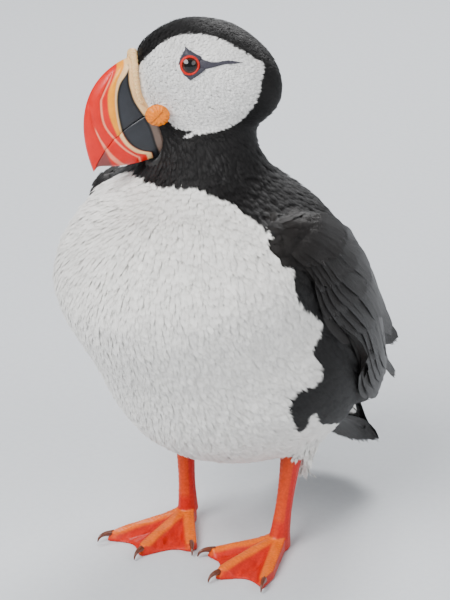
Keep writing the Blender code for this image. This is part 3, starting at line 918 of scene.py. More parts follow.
def clear_of_ornaments(points):
    """Whether each point is behind the cere, and outside the rosettes and legs and not beside them."""
    tree = solid_tree("rosette_left", "rosette_right", "leg_left", "leg_right")[0]
    bill = solid_tree("bill_upper", "bill_lower")[0]
    head = head_places(points)
    behind = head[:, 0] < edge_at(CERE_REAR, head[:, 2]) - 0.2
    beside = np.abs(head[:, 1]) > 9.5
    clear = behind | beside | (head[:, 2] < -33.5) | (body_places(points)[:, 2] < 150)
    for i, point in enumerate(points):
        distance, outward = distance_to(tree, Vector(point))
        if distance < BARE_BY_ORNAMENT * MM or (distance < ORNAMENT_DEPTH * MM and outward < 0):
            clear[i] = False
        elif not clear[i]:
            distance, outward = distance_to(bill, Vector(point))
            clear[i] = distance > BARE_BY_BILL * MM and outward > 0
    return clear


def distance_to(tree, point):
    """How far a point is from the nearest solid, and how far along that surface's way out."""
    place, normal, _, distance = tree.find_nearest(point)
    return distance, (point - place).dot(normal)


def scatter(skin, spacing, rng):
    """Places on the skin for feathers, evenly spread by a spacing for each face: points and faces."""
    weights = skin.areas / spacing**2
    total = int(weights.sum() * 4)
    faces = rng.choice(len(weights), total, p=weights / weights.sum())
    a, b = rng.random((2, total, 1))
    over = (a + b) > 1
    a, b = np.where(over, 1 - a, a), np.where(over, 1 - b, b)
    p, q, r = (skin.points[skin.corners[faces, k]] for k in range(3))
    points = p + (q - p) * a + (r - p) * b
    tree = KDTree(total)
    for i, point in enumerate(points):
        tree.insert(point, i)
    tree.balance()
    free = np.ones(total, bool)
    chosen = []
    for i in range(total):
        if free[i]:
            chosen.append(i)
            for _, j, _ in tree.find_range(points[i], spacing[faces[i]]):
                free[j] = False
    return points[chosen], faces[chosen]


def spine_over_skin(skin, roots, flow, lengths, lifts, stand):
    """Feather spines that follow the skin and run on past its ends: five places, with their normals."""
    samples, ends = [], []
    for share, rise in ((0, -0.15), (0.5, 0.62 * stand + lifts), (1, stand + lifts)):
        ahead = roots + flow * (lengths * share)[:, None]
        place, normal, depth, _ = skin.nearest(ahead)
        drop = place - ahead
        fall = np.linalg.norm(drop, axis=1)
        bent = np.minimum(1, 0.28 * lengths * share / np.maximum(fall, 1e-9)) if share else np.ones(len(fall))
        samples.append((place, normal))
        ends.append(ahead + drop * bent[:, None] + normal * (rise * depth)[:, None])
    spines, normals = [], []
    for t in np.linspace(0, 1, 5):
        a, b, c = 2 * (t - 0.5) * (t - 1), -4 * t * (t - 1), 2 * t * (t - 0.5)
        spines.append(ends[0] * a + ends[1] * b + ends[2] * c)
        normals.append(samples[0][1] * a + samples[1][1] * b + samples[2][1] * c)
    return np.stack(spines, axis=1), unit(np.stack(normals, axis=1))


BODY_FEATHER = feather_pattern([(0, 0.5), (0.36, 0.95), (0.72, 1.0)], 6)
SILKY_FEATHER = feather_pattern([(0, 0.6), (0.36, 1.0), (0.68, 0.8)], 5, 1.0)
FACE_FEATHER = feather_pattern([(0, 0.6), (0.6, 1.0)], 3)
FEATHER_SHAPES = dict.fromkeys(("face", "cap"), FACE_FEATHER)
FEATHER_SHAPES.update(dict.fromkeys(("breast", "belly", "cuff", "tuft"), SILKY_FEATHER))
SILKY_CUP = 0.07  # how far the edges of the soft white feathers bend down, as a share of half width
FIRM_CUP = 0.12  # the same for all others


def body_plumage(skin, materials):
    """All small feathers, as one piece for each kind and colour."""
    rng = np.random.default_rng(SEED)
    centres = skin.points[skin.corners].mean(axis=1)
    face_normals = unit(skin.normals[skin.corners].mean(axis=1))
    face_regions = skin.regions[skin.corners[:, 0]]
    kinds = feather_kinds(centres, face_normals, face_regions)
    roots, faces = scatter(skin, feather_sizes(centres, kinds)[:, 0] * MM, rng)
    kept = clear_of_ornaments(roots) & ~near_lid(roots) & (body_places(roots)[:, 0] > SMALL_FEATHERS_REAR)
    roots, faces = roots[kept], faces[kept]
    kinds, regions, normals = kinds[faces], face_regions[faces], face_normals[faces]
    sizes = feather_sizes(roots, kinds)[:, 1:]
    flow = feather_flow(roots, regions)
    flow = square_to(normals, flow)
    flow = unit(flow + np.cross(normals, flow) * rng.normal(0, 0.1, (len(roots), 1)))
    lengths = sizes[:, 0] * MM * rng.uniform(0.85, 1.12, len(roots))
    lengths = shortened_by_eye(roots, flow, lengths)
    hidden = under_vanes(roots, regions)
    lengths *= 1 - 0.4 * hidden
    half_widths = sizes[:, 1] * MM * rng.uniform(0.85, 1.15, len(roots))
    lifts = rng.normal(0, 0.1, len(roots))
    stand = sizes[:, 2] * (1 - 0.7 * hidden)
    spines, spine_normals = spine_over_skin(skin, roots, flow, lengths, lifts, stand)
    seen = spines[:, 3] + rng.normal(0, 0.25 * MM, (len(roots), 3))
    tones = rng.normal(1, 0.035, len(roots))
    unwrapped = skin.unwrapped[faces].mean(axis=1)
    white = plumage_colours(seen, spine_normals[:, 3], regions).mean(axis=1) > 0.3
    for kind in FEATHER_SIZES:
        for finish, chosen in (("white", white), ("black", ~white)):
            part = (kinds == kind) & chosen
            if part.sum() < 5:
                continue
            piece = lay_feathers(
                f"{kind.title()}_feathers_{finish}",
                spines[part],
                spine_normals[part],
                half_widths[part],
                lengths[part],
                marked(seen[part], spine_normals[part, 3], regions[part], tones[part]),
                unwrapped[part],
                FEATHER_SHAPES.get(kind, BODY_FEATHER),
                rng,
                cup=SILKY_CUP if kind in ("breast", "belly") else FIRM_CUP,
            )
            finish_piece(piece, materials[finish], finish + "_plumage")


def under_vanes(roots, regions):
    """1 for each small feather that long vanes of wing or tail cover, fading to 0 in the open."""
    covered = np.zeros(len(roots))
    for side in SIDES:
        share, wide = wing_places(roots, side)
        edge_shares, _, back_edge = wing_edges(side)
        inset = np.interp(share, edge_shares, back_edge) - wide
        past = step(SMALL_FEATHERS_END, SMALL_FEATHERS_END + 0.05, share - 0.003 * (wide + 20))
        found = past * step(1, 4, inset)
        covered = np.where(regions == "wing_" + side, found, covered)
    past = step(-50, -58, body_places(roots)[:, 0])
    return np.where(regions == "tail", past, covered)


def marked(seen, normals, regions, tones):
    """Colours for the points of body feathers: half by each point's own place, half by the feather's."""

    def colour_at(points):
        count = points.shape[1]
        places = (points + seen[:, None]) / 2
        rows = plumage_colours(
            places.reshape(-1, 3), np.repeat(normals, count, axis=0), np.repeat(regions, count)
        )
        return rows.reshape(points.shape) * tones[:, None, None]

    return colour_at


def from_eye(roots):
    """Distance in millimetres from the middle of an eye, along the side of the head."""
    return np.linalg.norm(head_places(roots)[:, [0, 2]] - EYE_SPOT, axis=1)


def shortened_by_eye(roots, flow, lengths):
    """Keep feather tips off the lids."""
    near = (from_eye(roots + flow * lengths[:, None]) < LID_RADIUS + LID_GIRTH) & (from_eye(roots) < 12)
    return np.where(near, lengths * 0.45, lengths)


def near_lid(roots):
    """Whether each root lies under an eye or its lid, or between the lid and the plates behind it."""
    head = head_places(roots)
    reach = np.where(head[:, 0] < EYE_SPOT[0] - 1, LID_RADIUS + 1.6, LID_RADIUS + 0.3)
    return (from_eye(roots) < reach) & (np.abs(head[:, 1]) > 8)


# ---- wings and tail ----

# A wing is laid out from its shoulder to its tip, and across from its belly edge to its back edge.
WING_SHOULDER = (29, 44, 147)
WING_TIP = (-90, 12, 41)
WING_OUTWARD = (0, 1, 0.25)
# Rows of vanes from the lowest up: (count, first root, last root, first tip, last tip, half width,
# height over the wing). Roots and tips are (share of the wing's length, place across it from -1 at the
# belly edge to 1 at the back edge), and the first vane of a row is the one nearest the belly.
WING_ROWS = [
    (8, (0.48, -0.75), (0.6, 0.4), (0.78, -0.8), (1.02, 0.1), 3.7, -1.1),
    (10, (0.28, -0.9), (0.42, 0.5), (0.67, -0.9), (0.87, 0.45), 4.7, -0.75),
    (4, (0.42, 0.35), (0.42, 0.8), (0.92, 0.4), (0.74, 0.9), 5.0, -0.35),
    (12, (0.18, -0.88), (0.3, 0.9), (0.41, -0.92), (0.61, 0.92), 4.1, -0.3),
    (13, (0.12, -0.86), (0.22, 0.9), (0.28, -0.92), (0.47, 0.95), 3.6, 0.0),
    (12, (0.08, -0.8), (0.15, 0.85), (0.19, -0.9), (0.36, 0.95), 3.2, 0.2),
    (10, (0.05, -0.7), (0.1, 0.8), (0.125, -0.85), (0.26, 0.95), 3.0, 0.4),
]
SMALL_FEATHERS_REAR = -64  # no small feathers further back on the body than this
SMALL_FEATHERS_END = 0.11  # share of the wing's length that only small feathers cover
LONG_VANE = feather_pattern(
    [
        (0, 0.3), (0.1, 0.62), (0.22, 0.86), (0.36, 0.97), (0.5, 1), (0.64, 1), (0.76, 0.97), (0.85, 0.88),
        (0.915, 0.73), (0.96, 0.52),
    ],
    8,
)
VANE_TILT = 6  # degrees that each vane's free edge, towards the belly, stands up
VANE_SAMPLES = 14
VANE_CUP, VANE_SHAFT = 0.06, 0.16  # bend of a vane's edges as a share of half width, height of its shaft

TAIL_ROOT = (-42, 0, 56)
TAIL_TIP = (-76, 0, 14)
TAIL_FEATHERS = 14
TAIL_HALF_WIDTH = 4.2
TAIL_REACH = 14  # a tail feather lies on the solid where it is nearer than this


def height_over(tree, place, outward):
    """How far out from a place a line from outside first meets the solids, or nothing."""
    hit = tree.ray_cast(place + outward * 80 * MM, -outward)[0]
    return None if hit is None else (hit - place).dot(outward)


def wing_line(side):
    """A wing's shoulder, its axis, the way to its back edge, and the way out, in the body's directions."""
    ends = (WING_SHOULDER, WING_TIP, WING_OUTWARD)
    shoulder, tip, outward = (Vector((f, l * SIDES[side], u)) for f, l, u in ends)
    along = tip - shoulder
    backward = along.cross(outward).normalized()
    if backward.z < 0:
        backward = -backward
    return shoulder, along, backward, outward.normalized()


def wing_solid(side):
    """A wing's search tree, shoulder, axis and way to its back edge, and its way out in world axes."""
    shoulder, along, backward, outward = wing_line(side)
    return solid_tree("wing_" + side)[0], shoulder, along, backward, Vector(body_directions([outward])[0])


def wing_places(points, side):
    """Share of the wing's length, and millimetres towards its back edge, of points near a wing."""
    shoulder, along, backward, _ = wing_line(side)
    rel = body_places(points) - np.array(shoulder)
    return rel @ np.array(along) / along.length_squared, rel @ np.array(backward)


def wing_edges(side):
    """How far towards belly and back the wing reaches at each share of its length."""
    tree, shoulder, along, backward, outward_world = wing_solid(side)
    rows = []
    for share in np.linspace(0, 1, 26):
        reached = []
        for wide in range(-34, 28):
            guess = on_body(*(shoulder + along * share + backward * wide))
            if height_over(tree, guess, outward_world) is not None:
                reached.append(wide)
        rows.append((share, min(reached, default=0) + 0.5, max(reached, default=0) - 0.5))
    return np.array(rows).T


def wing_vanes(side, rng):
    """Coverts, tertials, secondaries and primaries of one folded wing, from the lowest layer up."""
    tree, shoulder, along, backward, outward_world = wing_solid(side)
    backward_world = body_directions([backward])[0]
    edge_shares, belly_edge, back_edge = wing_edges(side)
    shares = np.linspace(0, 1, VANE_SAMPLES)
    spines, widths = [], []
    for count, first_root, last_root, first_tip, last_tip, width, height in WING_ROWS:
        for i in range(count):
            t = i / (count - 1)
            root = mix(np.array(first_root), np.array(last_root), t)
            end = mix(np.array(first_tip), np.array(last_tip), t)
            end += rng.normal(0, (0.006, 0.01))
            guesses, offsets = [], []
            for share in shares:
                far, across = mix(root, end, share)
                low, high = np.interp(far, edge_shares, belly_edge), np.interp(far, edge_shares, back_edge)
                wide = low + (high - low) * (across + 1) / 2
                guess = on_body(*(shoulder + along * far + backward * wide))
                guesses.append(guess)
                offsets.append(height_over(tree, guess, outward_world))
            guesses = smoothed_line(np.array(guesses), 4)
            offsets = smoothed_line(filled(offsets), 5)
            raised = (height + 0.05 * i + 0.9 * shares**2 - 1.6 * np.maximum(0, 1 - shares / 0.3) ** 2) * MM
            spines.append(guesses + np.outer(offsets + raised, outward_world))
            widths.append(width * MM * rng.uniform(0.95, 1.06))
    spines = np.array(spines)
    normals = surface_normals(spines, np.array(outward_world), tree)
    normals = unit(normals + backward_world * math.tan(math.radians(VANE_TILT)))
    return spines, normals, np.array(widths)


def filled(values):
    """A row of numbers, with each missing one taken from the last known."""
    known = [i for i, value in enumerate(values) if value is not None] or [0]
    return np.interp(range(len(values)), known, [values[i] or 0 for i in known])


def smoothed_line(values, passes):
    for _ in range(passes):
        values[1:-1] = (values[:-2] + 2 * values[1:-1] + values[2:]) / 4
    return values


def surface_normals(spines, guess, tree):
    """Normals of the nearest solid surface, held close to the given outward way and square to the spine."""
    flat = spines.reshape(-1, 3)
    found = np.array([tree.find_nearest(Vector(point))[1] for point in flat]).reshape(spines.shape)
    found = unit(found + guess)
    for _ in range(4):
        found[:, 1:-1] = unit(found[:, :-2] + found[:, 1:-1] * 2 + found[:, 2:])
    tangents = unit(np.gradient(spines, axis=1))
    return square_to(tangents, found)


def tail_vanes(tree, above):
    """Tail feathers fanned a little over one side of the tail, the middle ones outermost."""
    root, tip = np.array(TAIL_ROOT, float), np.array(TAIL_TIP, float)
    along = tip - root
    outward = unit(np.array([along[2], 0, -along[0]])) * (1 if above else -1)
    outward_world = Vector(body_directions([outward])[0])
    spines, normals = [], []
    for i in range(TAIL_FEATHERS):
        spread = 2 * i / (TAIL_FEATHERS - 1) - 1
        reach = 1 - 0.1 * spread**2
        guesses, offsets = [], []
        for share in np.linspace(0, 1, VANE_SAMPLES):
            place = root + along * share * reach
            place[1] = spread * (12 + 6 * share)
            guess = on_body(*place)
            height = height_over(tree, guess, outward_world)
            near = height is not None and abs(height) < TAIL_REACH * MM and share < 0.9
            guesses.append(guess)
            offsets.append(height if near else None)
        offsets = smoothed_line(filled(offsets), 4)
        offsets += (0.5 * (1 - abs(spread)) - 0.3) * MM
        spines.append(np.array(guesses) + np.outer(offsets, outward_world))
        bank = unit(outward + np.array([0, spread * 0.3, 0]))
        normals.append(np.tile(body_directions([bank])[0], (VANE_SAMPLES, 1)))
    return np.array(spines), np.array(normals), np.full(TAIL_FEATHERS, TAIL_HALF_WIDTH * MM)


def flight_feathers(skin, tree, materials):
    """Long stiff vanes of wings and tail."""
    rng = np.random.default_rng(SEED + 1)
    groups = {f"Wing_vanes_{side}": wing_vanes(side, rng) for side in SIDES}
    upper, under = tail_vanes(tree, True), tail_vanes(tree, False)
    groups["Tail_vanes"] = tuple(np.concatenate(pair) for pair in zip(upper, under))
    for name, (spines, normals, widths) in groups.items():
        lengths = np.linalg.norm(spines[:, -1] - spines[:, 0], axis=1)
        faces = skin.nearest(spines[:, 0])[3]
        colours = paint("black_wing")[None] * rng.normal(1.1, 0.08, (len(spines), 1))
        roots = skin.unwrapped[faces].mean(axis=1)
        piece = lay_feathers(
            name,
            spines,
            normals,
            widths,
            lengths,
            plain(colours),
            roots,
            LONG_VANE,
            rng,
            VANE_CUP,
            VANE_SHAFT,
        )
        finish_piece(piece, materials["flight"], "black_plumage")


def plain(colours):
    """One colour for all points of each feather."""
    return lambda points: np.repeat(colours[:, None], points.shape[1], axis=1)


# ---- bill ----


def bill_point_tables(ridge, sign):
    """Forward, up and half width over one side of a bill half, in rows along it and columns to its ridge."""
    t = np.linspace(0, 1, BILL_ROWS)[:, None]
    v = 1 - (1 - np.linspace(0, 1, BILL_COLUMNS)[None, :]) ** 1.7
    inner, outer = bezier(MOUTH_LINE, t[:, 0])[:, None], bezier(ridge, t[:, 0])[:, None]
    inner = inner + np.array([0, sign * MOUTH_GAP / 2])
    width = BILL_HALF_WIDTH + (BILL_TIP_HALF_WIDTH - BILL_HALF_WIDTH) * t**0.9
    crest = np.minimum(CULMEN_RIDGE, 0.75 * width) * (1 - 0.55 * t)
    place = inner + (outer - inner) * v[..., None] * 0.985
    half = crest * (1 - v**12) + (width - crest) * np.sqrt(np.maximum(0, 1 - v**1.9))
    half *= 1 - 0.07 * np.exp(-((v / 0.035) ** 2))
    # Behind the cere the horn goes in under the skin.
    covered = step(0.4, -2.2, place[..., 0] - edge_at(CERE_REAR, place[..., 1]))
    half = np.maximum(half - 2.2 * covered, 0.3 * half)
    return place[..., 0], place[..., 1], half


def band(values, low, high, blur=0.38):
    """1 between two edges, fading over a short way outside them."""
    return step(low - blur, low + blur, values) * (1 - step(high - blur, high + blur, values))


def bill_finish(forward, up, lower):
    """Colour and relief in millimetres at places of the bill."""
    plate_rear, plate_front = edge_at(PLATE_REAR, up), edge_at(PLATE_FRONT, up)
    yellow_rear, yellow_front = edge_at(YELLOW_REAR, up), edge_at(YELLOW_FRONT, up)
    red_groove, tip_groove = edge_at(RED_GROOVE, up), edge_at(TIP_GROOVE, up)
    colour = painted("bill_red", *forward.shape)
    relief = np.zeros(forward.shape)

    def lay(name, share):
        colour[:] = mix(colour, paint(name), share[..., None])

    def swell(place, breadth):
        return np.exp(-(((forward - place) / breadth) ** 2))

    for groove, breadth in ((red_groove, 0.42), (tip_groove, 0.3 + 0.6 * step(-12, -26, up))):
        near = np.exp(-(((forward - groove) / breadth) ** 4))
        shown = step(7, 3, up) if groove is red_groove else step(-9, -13, up)
        lay("groove_pale", near * shown * 0.9)
        relief += (0.16 * swell(groove + 2.2, 1.4) - 0.42 * swell(groove, 0.55)) * step(9, 4, up)
    if lower:
        lay("lower_tip", step(39.6, 41, forward))
        cream = band(forward, plate_front, plate_front + 1.5 + 0.5 * step(-22, -27, up))
        lay("cream", cream)
        relief += 0.3 * cream
        # Painted shade: a brown-grey strip along the lower mandible's base, behind its plate.
        lay("mandible_base_shade", step(plate_rear + 0.9, plate_rear + 0.5, forward))
    else:
        lay("yellow", band(forward, yellow_rear, yellow_front))
        relief += 0.5 * swell((yellow_rear + yellow_front) / 2, 1.5)
        lay("cream", step(yellow_rear + 0.35, yellow_rear - 0.35, forward))
    plate = band(forward, plate_rear, plate_front) * step(7.4, 6.6, up)
    lay("plate_edge", plate)
    lay("plate", band(forward, plate_rear + 0.9, plate_front - 0.9) * step(5.6, 4.6, up))
    relief += (0.3 * swell((plate_rear + plate_front) / 2, 3.2) - 0.25) * plate
    return colour, relief


def make_bill_half(name, ridge, sign, material):
    """One half of the bill, with its plates, grooves and coloured bands."""
    forward, up, half = bill_point_tables(ridge, sign)
    colour, relief = bill_finish(forward, up, sign < 0)
    width = half + relief * np.minimum(1, half / 2.5)
    left, right = (np.stack([forward, side * width, up], axis=2) for side in (1, -1))
    rings = np.concatenate([left, right[:, ::-1]], axis=1)
    tints = np.concatenate([colour, colour[:, ::-1]], axis=1)
    ring, count = BILL_COLUMNS * 2, BILL_ROWS * BILL_COLUMNS * 2
    points = from_head(rings.reshape(-1, 3))
    points = np.concatenate([points, [points[:ring].mean(axis=0), points[-ring:].mean(axis=0)]])
    faces = ring_faces(BILL_ROWS, ring)
    faces += [((j + 1) % ring, j, count) for j in range(ring)]
    faces += [(count - ring + j, count - ring + (j + 1) % ring, count + 1) for j in range(ring)]
    obj = mesh_object("Bill_" + name, points, faces)
    set_colours(obj.data, "Horn", np.concatenate([tints.reshape(-1, 3), tints[0, :1], tints[-1, :1]]))
    mend_normals(obj, merge=False)
    finish_piece(obj, material, "bill_red", "bill_" + name)


def swept(name, path, radii, sides=14):
    """A closed round rope through places on the head, with a radius at each."""
    path, radii = np.array(path), np.array(radii)
    tangents = unit(np.gradient(path, axis=0))
    points = []
    for centre, tangent, radius in zip(path, tangents, radii):
        across = unit(np.cross(tangent, [1, 0.02, 0]))
        over = np.cross(tangent, across)
        for k in range(sides):
            angle = 2 * math.pi * k / sides
            points.append(centre + (across * math.cos(angle) + over * math.sin(angle)) * radius)
    faces = ring_faces(len(path), sides)
    faces.append(tuple(reversed(range(sides))))
    faces.append(tuple(range((len(path) - 1) * sides, len(path) * sides)))
    obj = mesh_object(name, from_head(np.array(points)), faces)
    mend_normals(obj)
    return obj


# The cere runs from one gape over the culmen to the other: (forward, left, up, radius) on the left side.
CERE = [
    (20.9, 7.0, -9.0, 0.5), (21.3, 6.9, -5.0, 0.8), (20.3, 6.3, -0.5, 1.0), (18.9, 5.2, 3.6, 1.15),
    (17.2, 3.2, 7.0, 1.35), (16.3, 0, 9.3, 1.9),
]


def make_cere(material, rng):
    """Pale fleshy ridge round the bill's base, set with low warts."""
    half = through(CERE, 14)
    mirrored = half[::-1][1:] * np.array([1, -1, 1, 1])
    rows = np.concatenate([half, mirrored])
    warts = 1 + 0.09 * np.sin(np.arange(len(rows)) * 1.35) + rng.normal(0, 0.025, len(rows))
    ends = np.clip(np.minimum(np.arange(len(rows)), np.arange(len(rows))[::-1]) / 6, 0.3, 1)
    cere = swept("Cere", rows[:, :3], rows[:, 3] * warts * ends)
    shade = rng.normal(1, 0.03, (len(cere.data.vertices), 1))
    set_colours(cere.data, "Tint", paint("cream")[None] * shade)
    finish_piece(cere, material, "rosette_orange")


def make_rosette(side, material):
    """Puckered orange disc at the gape, folded along the line of the mouth."""
    sign = SIDES[side]
    ball = bpy.ops.mesh.primitive_uv_sphere_add
    rosette = basic_shape("Rosette_" + side, ball, segments=64, ring_count=32, radius=1)
    x, y, z = mesh_points(rosette.data).T
    angle, radius = np.arctan2(y, x), np.hypot(x, y)
    ruck = np.sin(angle * 14 + 1.3 * np.sin(angle * 3)) + 0.5 * np.sin(angle * 23 + 2 * np.sin(angle * 5))
    pucker = (1 + 0.015 * ruck * step(0.25, 0.9, radius)) * ROSETTE_RADIUS
    fold = np.exp(-((np.abs(y * math.cos(0.5) + x * math.sin(0.5)) / 0.1) ** 2)) * (radius < 0.97)
    dome = z * (1 - 0.17 * fold) * (1 - 0.1 * np.exp(-((radius / 0.25) ** 2)))
    dome = dome + (0.055 * ruck * step(0.15, 0.6, radius) + 0.05 * np.cos(radius * 11)) * (z > 0)
    out = (dome * ROSETTE_THICKNESS - ROSETTE_SLANT * x * pucker) * sign
    head = np.stack([x * pucker, out, y * pucker], axis=1) + np.array(ROSETTE_AT) * np.array([1, sign, 1])
    set_points(rosette.data, from_head(head))
    mend_normals(rosette)
    # Painted shade: the rosette is darker along its fold, in its sunken middle and in the furrows between its
    # rucks, and paler on their crests.
    shade = 1 - 0.3 * fold - 0.1 * step(0.2, 0, radius) + 0.07 * ruck
    set_colours(rosette.data, "Tint", paint("rosette")[None] * shade[:, None])
    finish_piece(rosette, material, "rosette_orange", "rosette_" + side)


# ---- eyes ----


def eye_frame(side):
    """World matrix with Z along the eye's gaze and Y up the head, at the eye's centre."""
    sign = SIDES[side]
    gaze = Vector((EYE_AXIS.x, EYE_AXIS.y * sign, EYE_AXIS.z))
    across = Vector((0, 0, 1)).cross(gaze).normalized()
    upward = gaze.cross(across)
    turn = Matrix((across, upward, gaze)).transposed()
    place = Matrix.Translation(Vector((0, sign * EYE_SPREAD, 0)) * MM)
    return HEAD_MATRIX @ place @ turn.to_4x4()


def make_eye(side):
    ball = bpy.ops.mesh.primitive_uv_sphere_add
    eye = basic_shape("Eye_" + side, ball, segments=64, ring_count=48, radius=EYE_RADIUS * MM)
    points = mesh_points(eye.data)
    radius = np.hypot(points[:, 0], points[:, 1]) / MM
    front = points[:, 2] > 0
    points[:, 2] += np.exp(-((radius / CORNEA_WIDTH) ** 2)) * front * CORNEA_RISE * MM
    set_points(eye.data, points)
    pupil = step(PUPIL_RADIUS + 0.15, PUPIL_RADIUS, radius) * front
    rim = step(*IRIS_RIM, radius)
    tint = paint("iris")[None] * (1 - 0.75 * rim[:, None])
    set_colours(eye.data, "Tint", mix(tint, np.full(3, 0.002), pupil[:, None]))
    eye.data.transform(eye_frame(side))
    eye.data.shade_smooth()
    finish_piece(eye, eye_material(side), "eye_dark", "eye_" + side)


def make_lid(side, material, rng):
    """Red ring of bare skin round the eye, its skirt running back over the ball in the face's colours."""
    seat = math.sqrt(EYE_RADIUS**2 - LID_RADIUS**2)
    profile = [(LID_RADIUS - 0.9 * LID_GIRTH, -0.25)]
    for angle in np.radians(np.linspace(200, -10, 10)):
        profile.append((LID_RADIUS + LID_GIRTH * math.cos(angle), LID_GIRTH * math.sin(angle)))
    ring_rows = len(profile)
    for radius in LID_SKIRT:
        profile.append((radius, math.sqrt((EYE_RADIUS + LID_GAP) ** 2 - radius**2) - seat))
    points = []
    for row, (radius, height) in enumerate(profile):
        for angle in np.arange(LID_SIDES) * 2 * math.pi / LID_SIDES:
            beaded = radius * (1 + 0.012 * math.sin(angle * 32) * (row < ring_rows))
            points.append((beaded * math.cos(angle), beaded * math.sin(angle), seat + height))
    faces = [(a, d, c, b) for a, b, c, d in ring_faces(len(profile), LID_SIDES)]
    lid = mesh_object("Lid_" + side, np.array(points) * MM, faces)
    lid.data.transform(eye_frame(side))
    forward, _, up = head_places(mesh_points(lid.data)).T
    tints = painted("face_white", len(forward))
    for outline, _ in EYE_PATCHES.values():
        tints[inside(round_curve(outline, 7), forward, up)] = paint("eye_plate")
    tints[: ring_rows * LID_SIDES] = paint("lid")
    set_colours(lid.data, "Tint", tints * rng.normal(1, 0.04, (len(tints), 1)))
    finish_piece(lid, material, "bill_red")


# Pads of bare horny skin: an outline on the side of the head, as (forward, up), and how far it stands out.
EYE_PATCHES = {
    "Upper_eye_plate": (
        [
            (3.9, 2.3), (2.4, 4.3), (0.2, 5.6), (-1.5, 7.2), (-1.5, 7.2), (-2.5, 5.2), (-3.8, 3.2),
            (-5.2, 1.4), (-3.4, 0.6), (-1.6, 3.2), (0.6, 3.8), (2.6, 2.9),
        ],
        1.5,
    ),
    "Lower_eye_plate": (
        [
            (3.9, -0.2), (3.4, -2.6), (2.6, -4.6), (2.6, -4.6), (0.2, -4.2), (-2.4, -3.6), (-5.2, -2.4),
            (-3.4, -1.4), (-1.6, -2.4), (0.6, -2.4), (2.6, -1.2),
        ],
        1.3,
    ),
    "Eye_line": (
        [
            (-2.9, 1.6), (-4.4, 1.2), (-6.5, -0.6), (-9, -1.9), (-13, -3.2), (-16, -4.8), (-18.5, -6.9),
            (-18.5, -6.9), (-15.6, -5.7), (-12.6, -4.3), (-9, -3.6), (-6, -3.1), (-4, -2.6), (-2.6, -1.4),
        ],
        1.15,
    ),
}
PAD_EDGE = [(1.0, -0.5), (0.97, 0.25), (0.86, 0.75), (0.6, 0.95), (0.3, 1.0)]  # (share of outline, of height)


def raised_patch(name, side, skin, material):
    """A low pad on the side of the head, with a rounded edge, over an outline."""
    outline, height = EYE_PATCHES[name]
    curve = round_curve(outline, 7)
    centre = curve.mean(axis=0)
    rings = [(centre + (curve - centre) * share, raised) for share, raised in PAD_EDGE]
    points = []
    outward = HEAD_ROTATION @ Vector((0, SIDES[side], 0))
    for ring, raised in rings + [(centre[None], 1.0)]:
        for forward, up in ring:
            start = on_head(forward, SIDES[side] * 40, up)
            hit = skin.tree.ray_cast(start, -outward)[0] or on_head(forward, SIDES[side] * 16, up)
            points.append(hit + outward * (raised * height) * MM)
    size = len(curve)
    last = (len(rings) - 1) * size
    faces = ring_faces(len(rings), size)
    faces += [(last + k, last + (k + 1) % size, last + size) for k in range(size)]
    obj = mesh_object(f"{name}_{side}", points, faces)
    mend_normals(obj)
    set_colours(obj.data, "Tint", painted("eye_plate", len(obj.data.vertices)))
    finish_piece(obj, material, "claw_brown")


# ---- legs, feet and claws ----

LEG_VOXEL = 0.42
SCUTE_SPACING = 1.7  # along a toe
RING_SPACING = 2.1  # down the shank
TOE_EDGE = (2.9, 1.5)  # from a toe's middle line out to where the web begins, and in to where the toe is full
ANKLE = (14, 9)  # heights where the shank ends and where the foot is full
SOLE = 0.4  # the foot is left flat below this height


def make_leg(side, material):
    """Leg and webbed foot as one skin, with scutes over the toes and down the shank's front."""
    leg = copy_of_nodes("Leg_" + side, (f"leg_{side}", f"foot_{side}"))
    modify(leg, "REMESH", mode="VOXEL", voxel_size=LEG_VOXEL * MM)
    modify(leg, "SMOOTH", factor=0.5, iterations=4)
    points, normals = mesh_points(leg.data), mesh_normals(leg.data)
    forward, left, up = body_places(points).T
    joint = FOOT_JOINT[side]
    ahead, aside = forward - joint[0], left - joint[1]
    radius = np.hypot(ahead, aside)
    heading = np.degrees(np.arctan2(aside, ahead))
    toe = np.zeros(len(points))
    for toe_heading in TOE_HEADINGS[side]:
        off = np.abs(radius * np.sin(np.radians(np.clip(heading - toe_heading, -90, 90))))
        toe = np.maximum(toe, step(*TOE_EDGE, off) * (ahead > -2))
    foot = step(*ANKLE, up)
    top = step(0.25, 0.6, (normals * np.array([0, 0, 1])).sum(axis=1))
    scutes = np.abs(np.sin(radius * math.pi / SCUTE_SPACING)) ** 0.6 * toe * top * foot
    front = step(0.2, 0.7, -normals[:, 1]) * (1 - foot)
    rings = np.abs(np.sin(up * math.pi / RING_SPACING)) ** 0.6 * front
    creases = np.sin(heading * 1.1 + 0.8 * np.sin(radius * 0.5)) * (1 - toe) * foot * top
    raised = 0.16 * scutes + 0.16 * rings + 0.05 * creases
    raised[up < SOLE] = 0
    set_points(leg.data, points + normals * (raised * MM)[:, None])
    shank = mix(paint("leg"), paint("toe"), 0.35 * front[:, None])
    # Painted shade: the toes are darker in the furrows between their scutes than on the scutes' crests, and
    # the web is darker in the hollows of its creases.
    web = paint("web")[None] * (0.94 + 0.06 * creases[:, None])
    paw = mix(web, paint("toe"), (toe * top)[:, None]) * (0.9 + 0.1 * scutes[:, None])
    set_colours(leg.data, "Tint", mix(shank, paw, foot[:, None]))
    leg.data.shade_smooth()
    finish_piece(leg, material, "foot_orange", f"leg_{side}", f"foot_{side}")


def make_claws(side, material):
    nodes = [f"claw_{side}_{toe}" for toe in ("outer", "middle", "inner")]
    claws = copy_of_nodes("Claws_" + side, nodes)
    modify(claws, "SUBSURF", levels=2, render_levels=2)
    claws.data.shade_smooth()
    finish_piece(claws, material, "claw_brown", *nodes)


# ---- studio ----

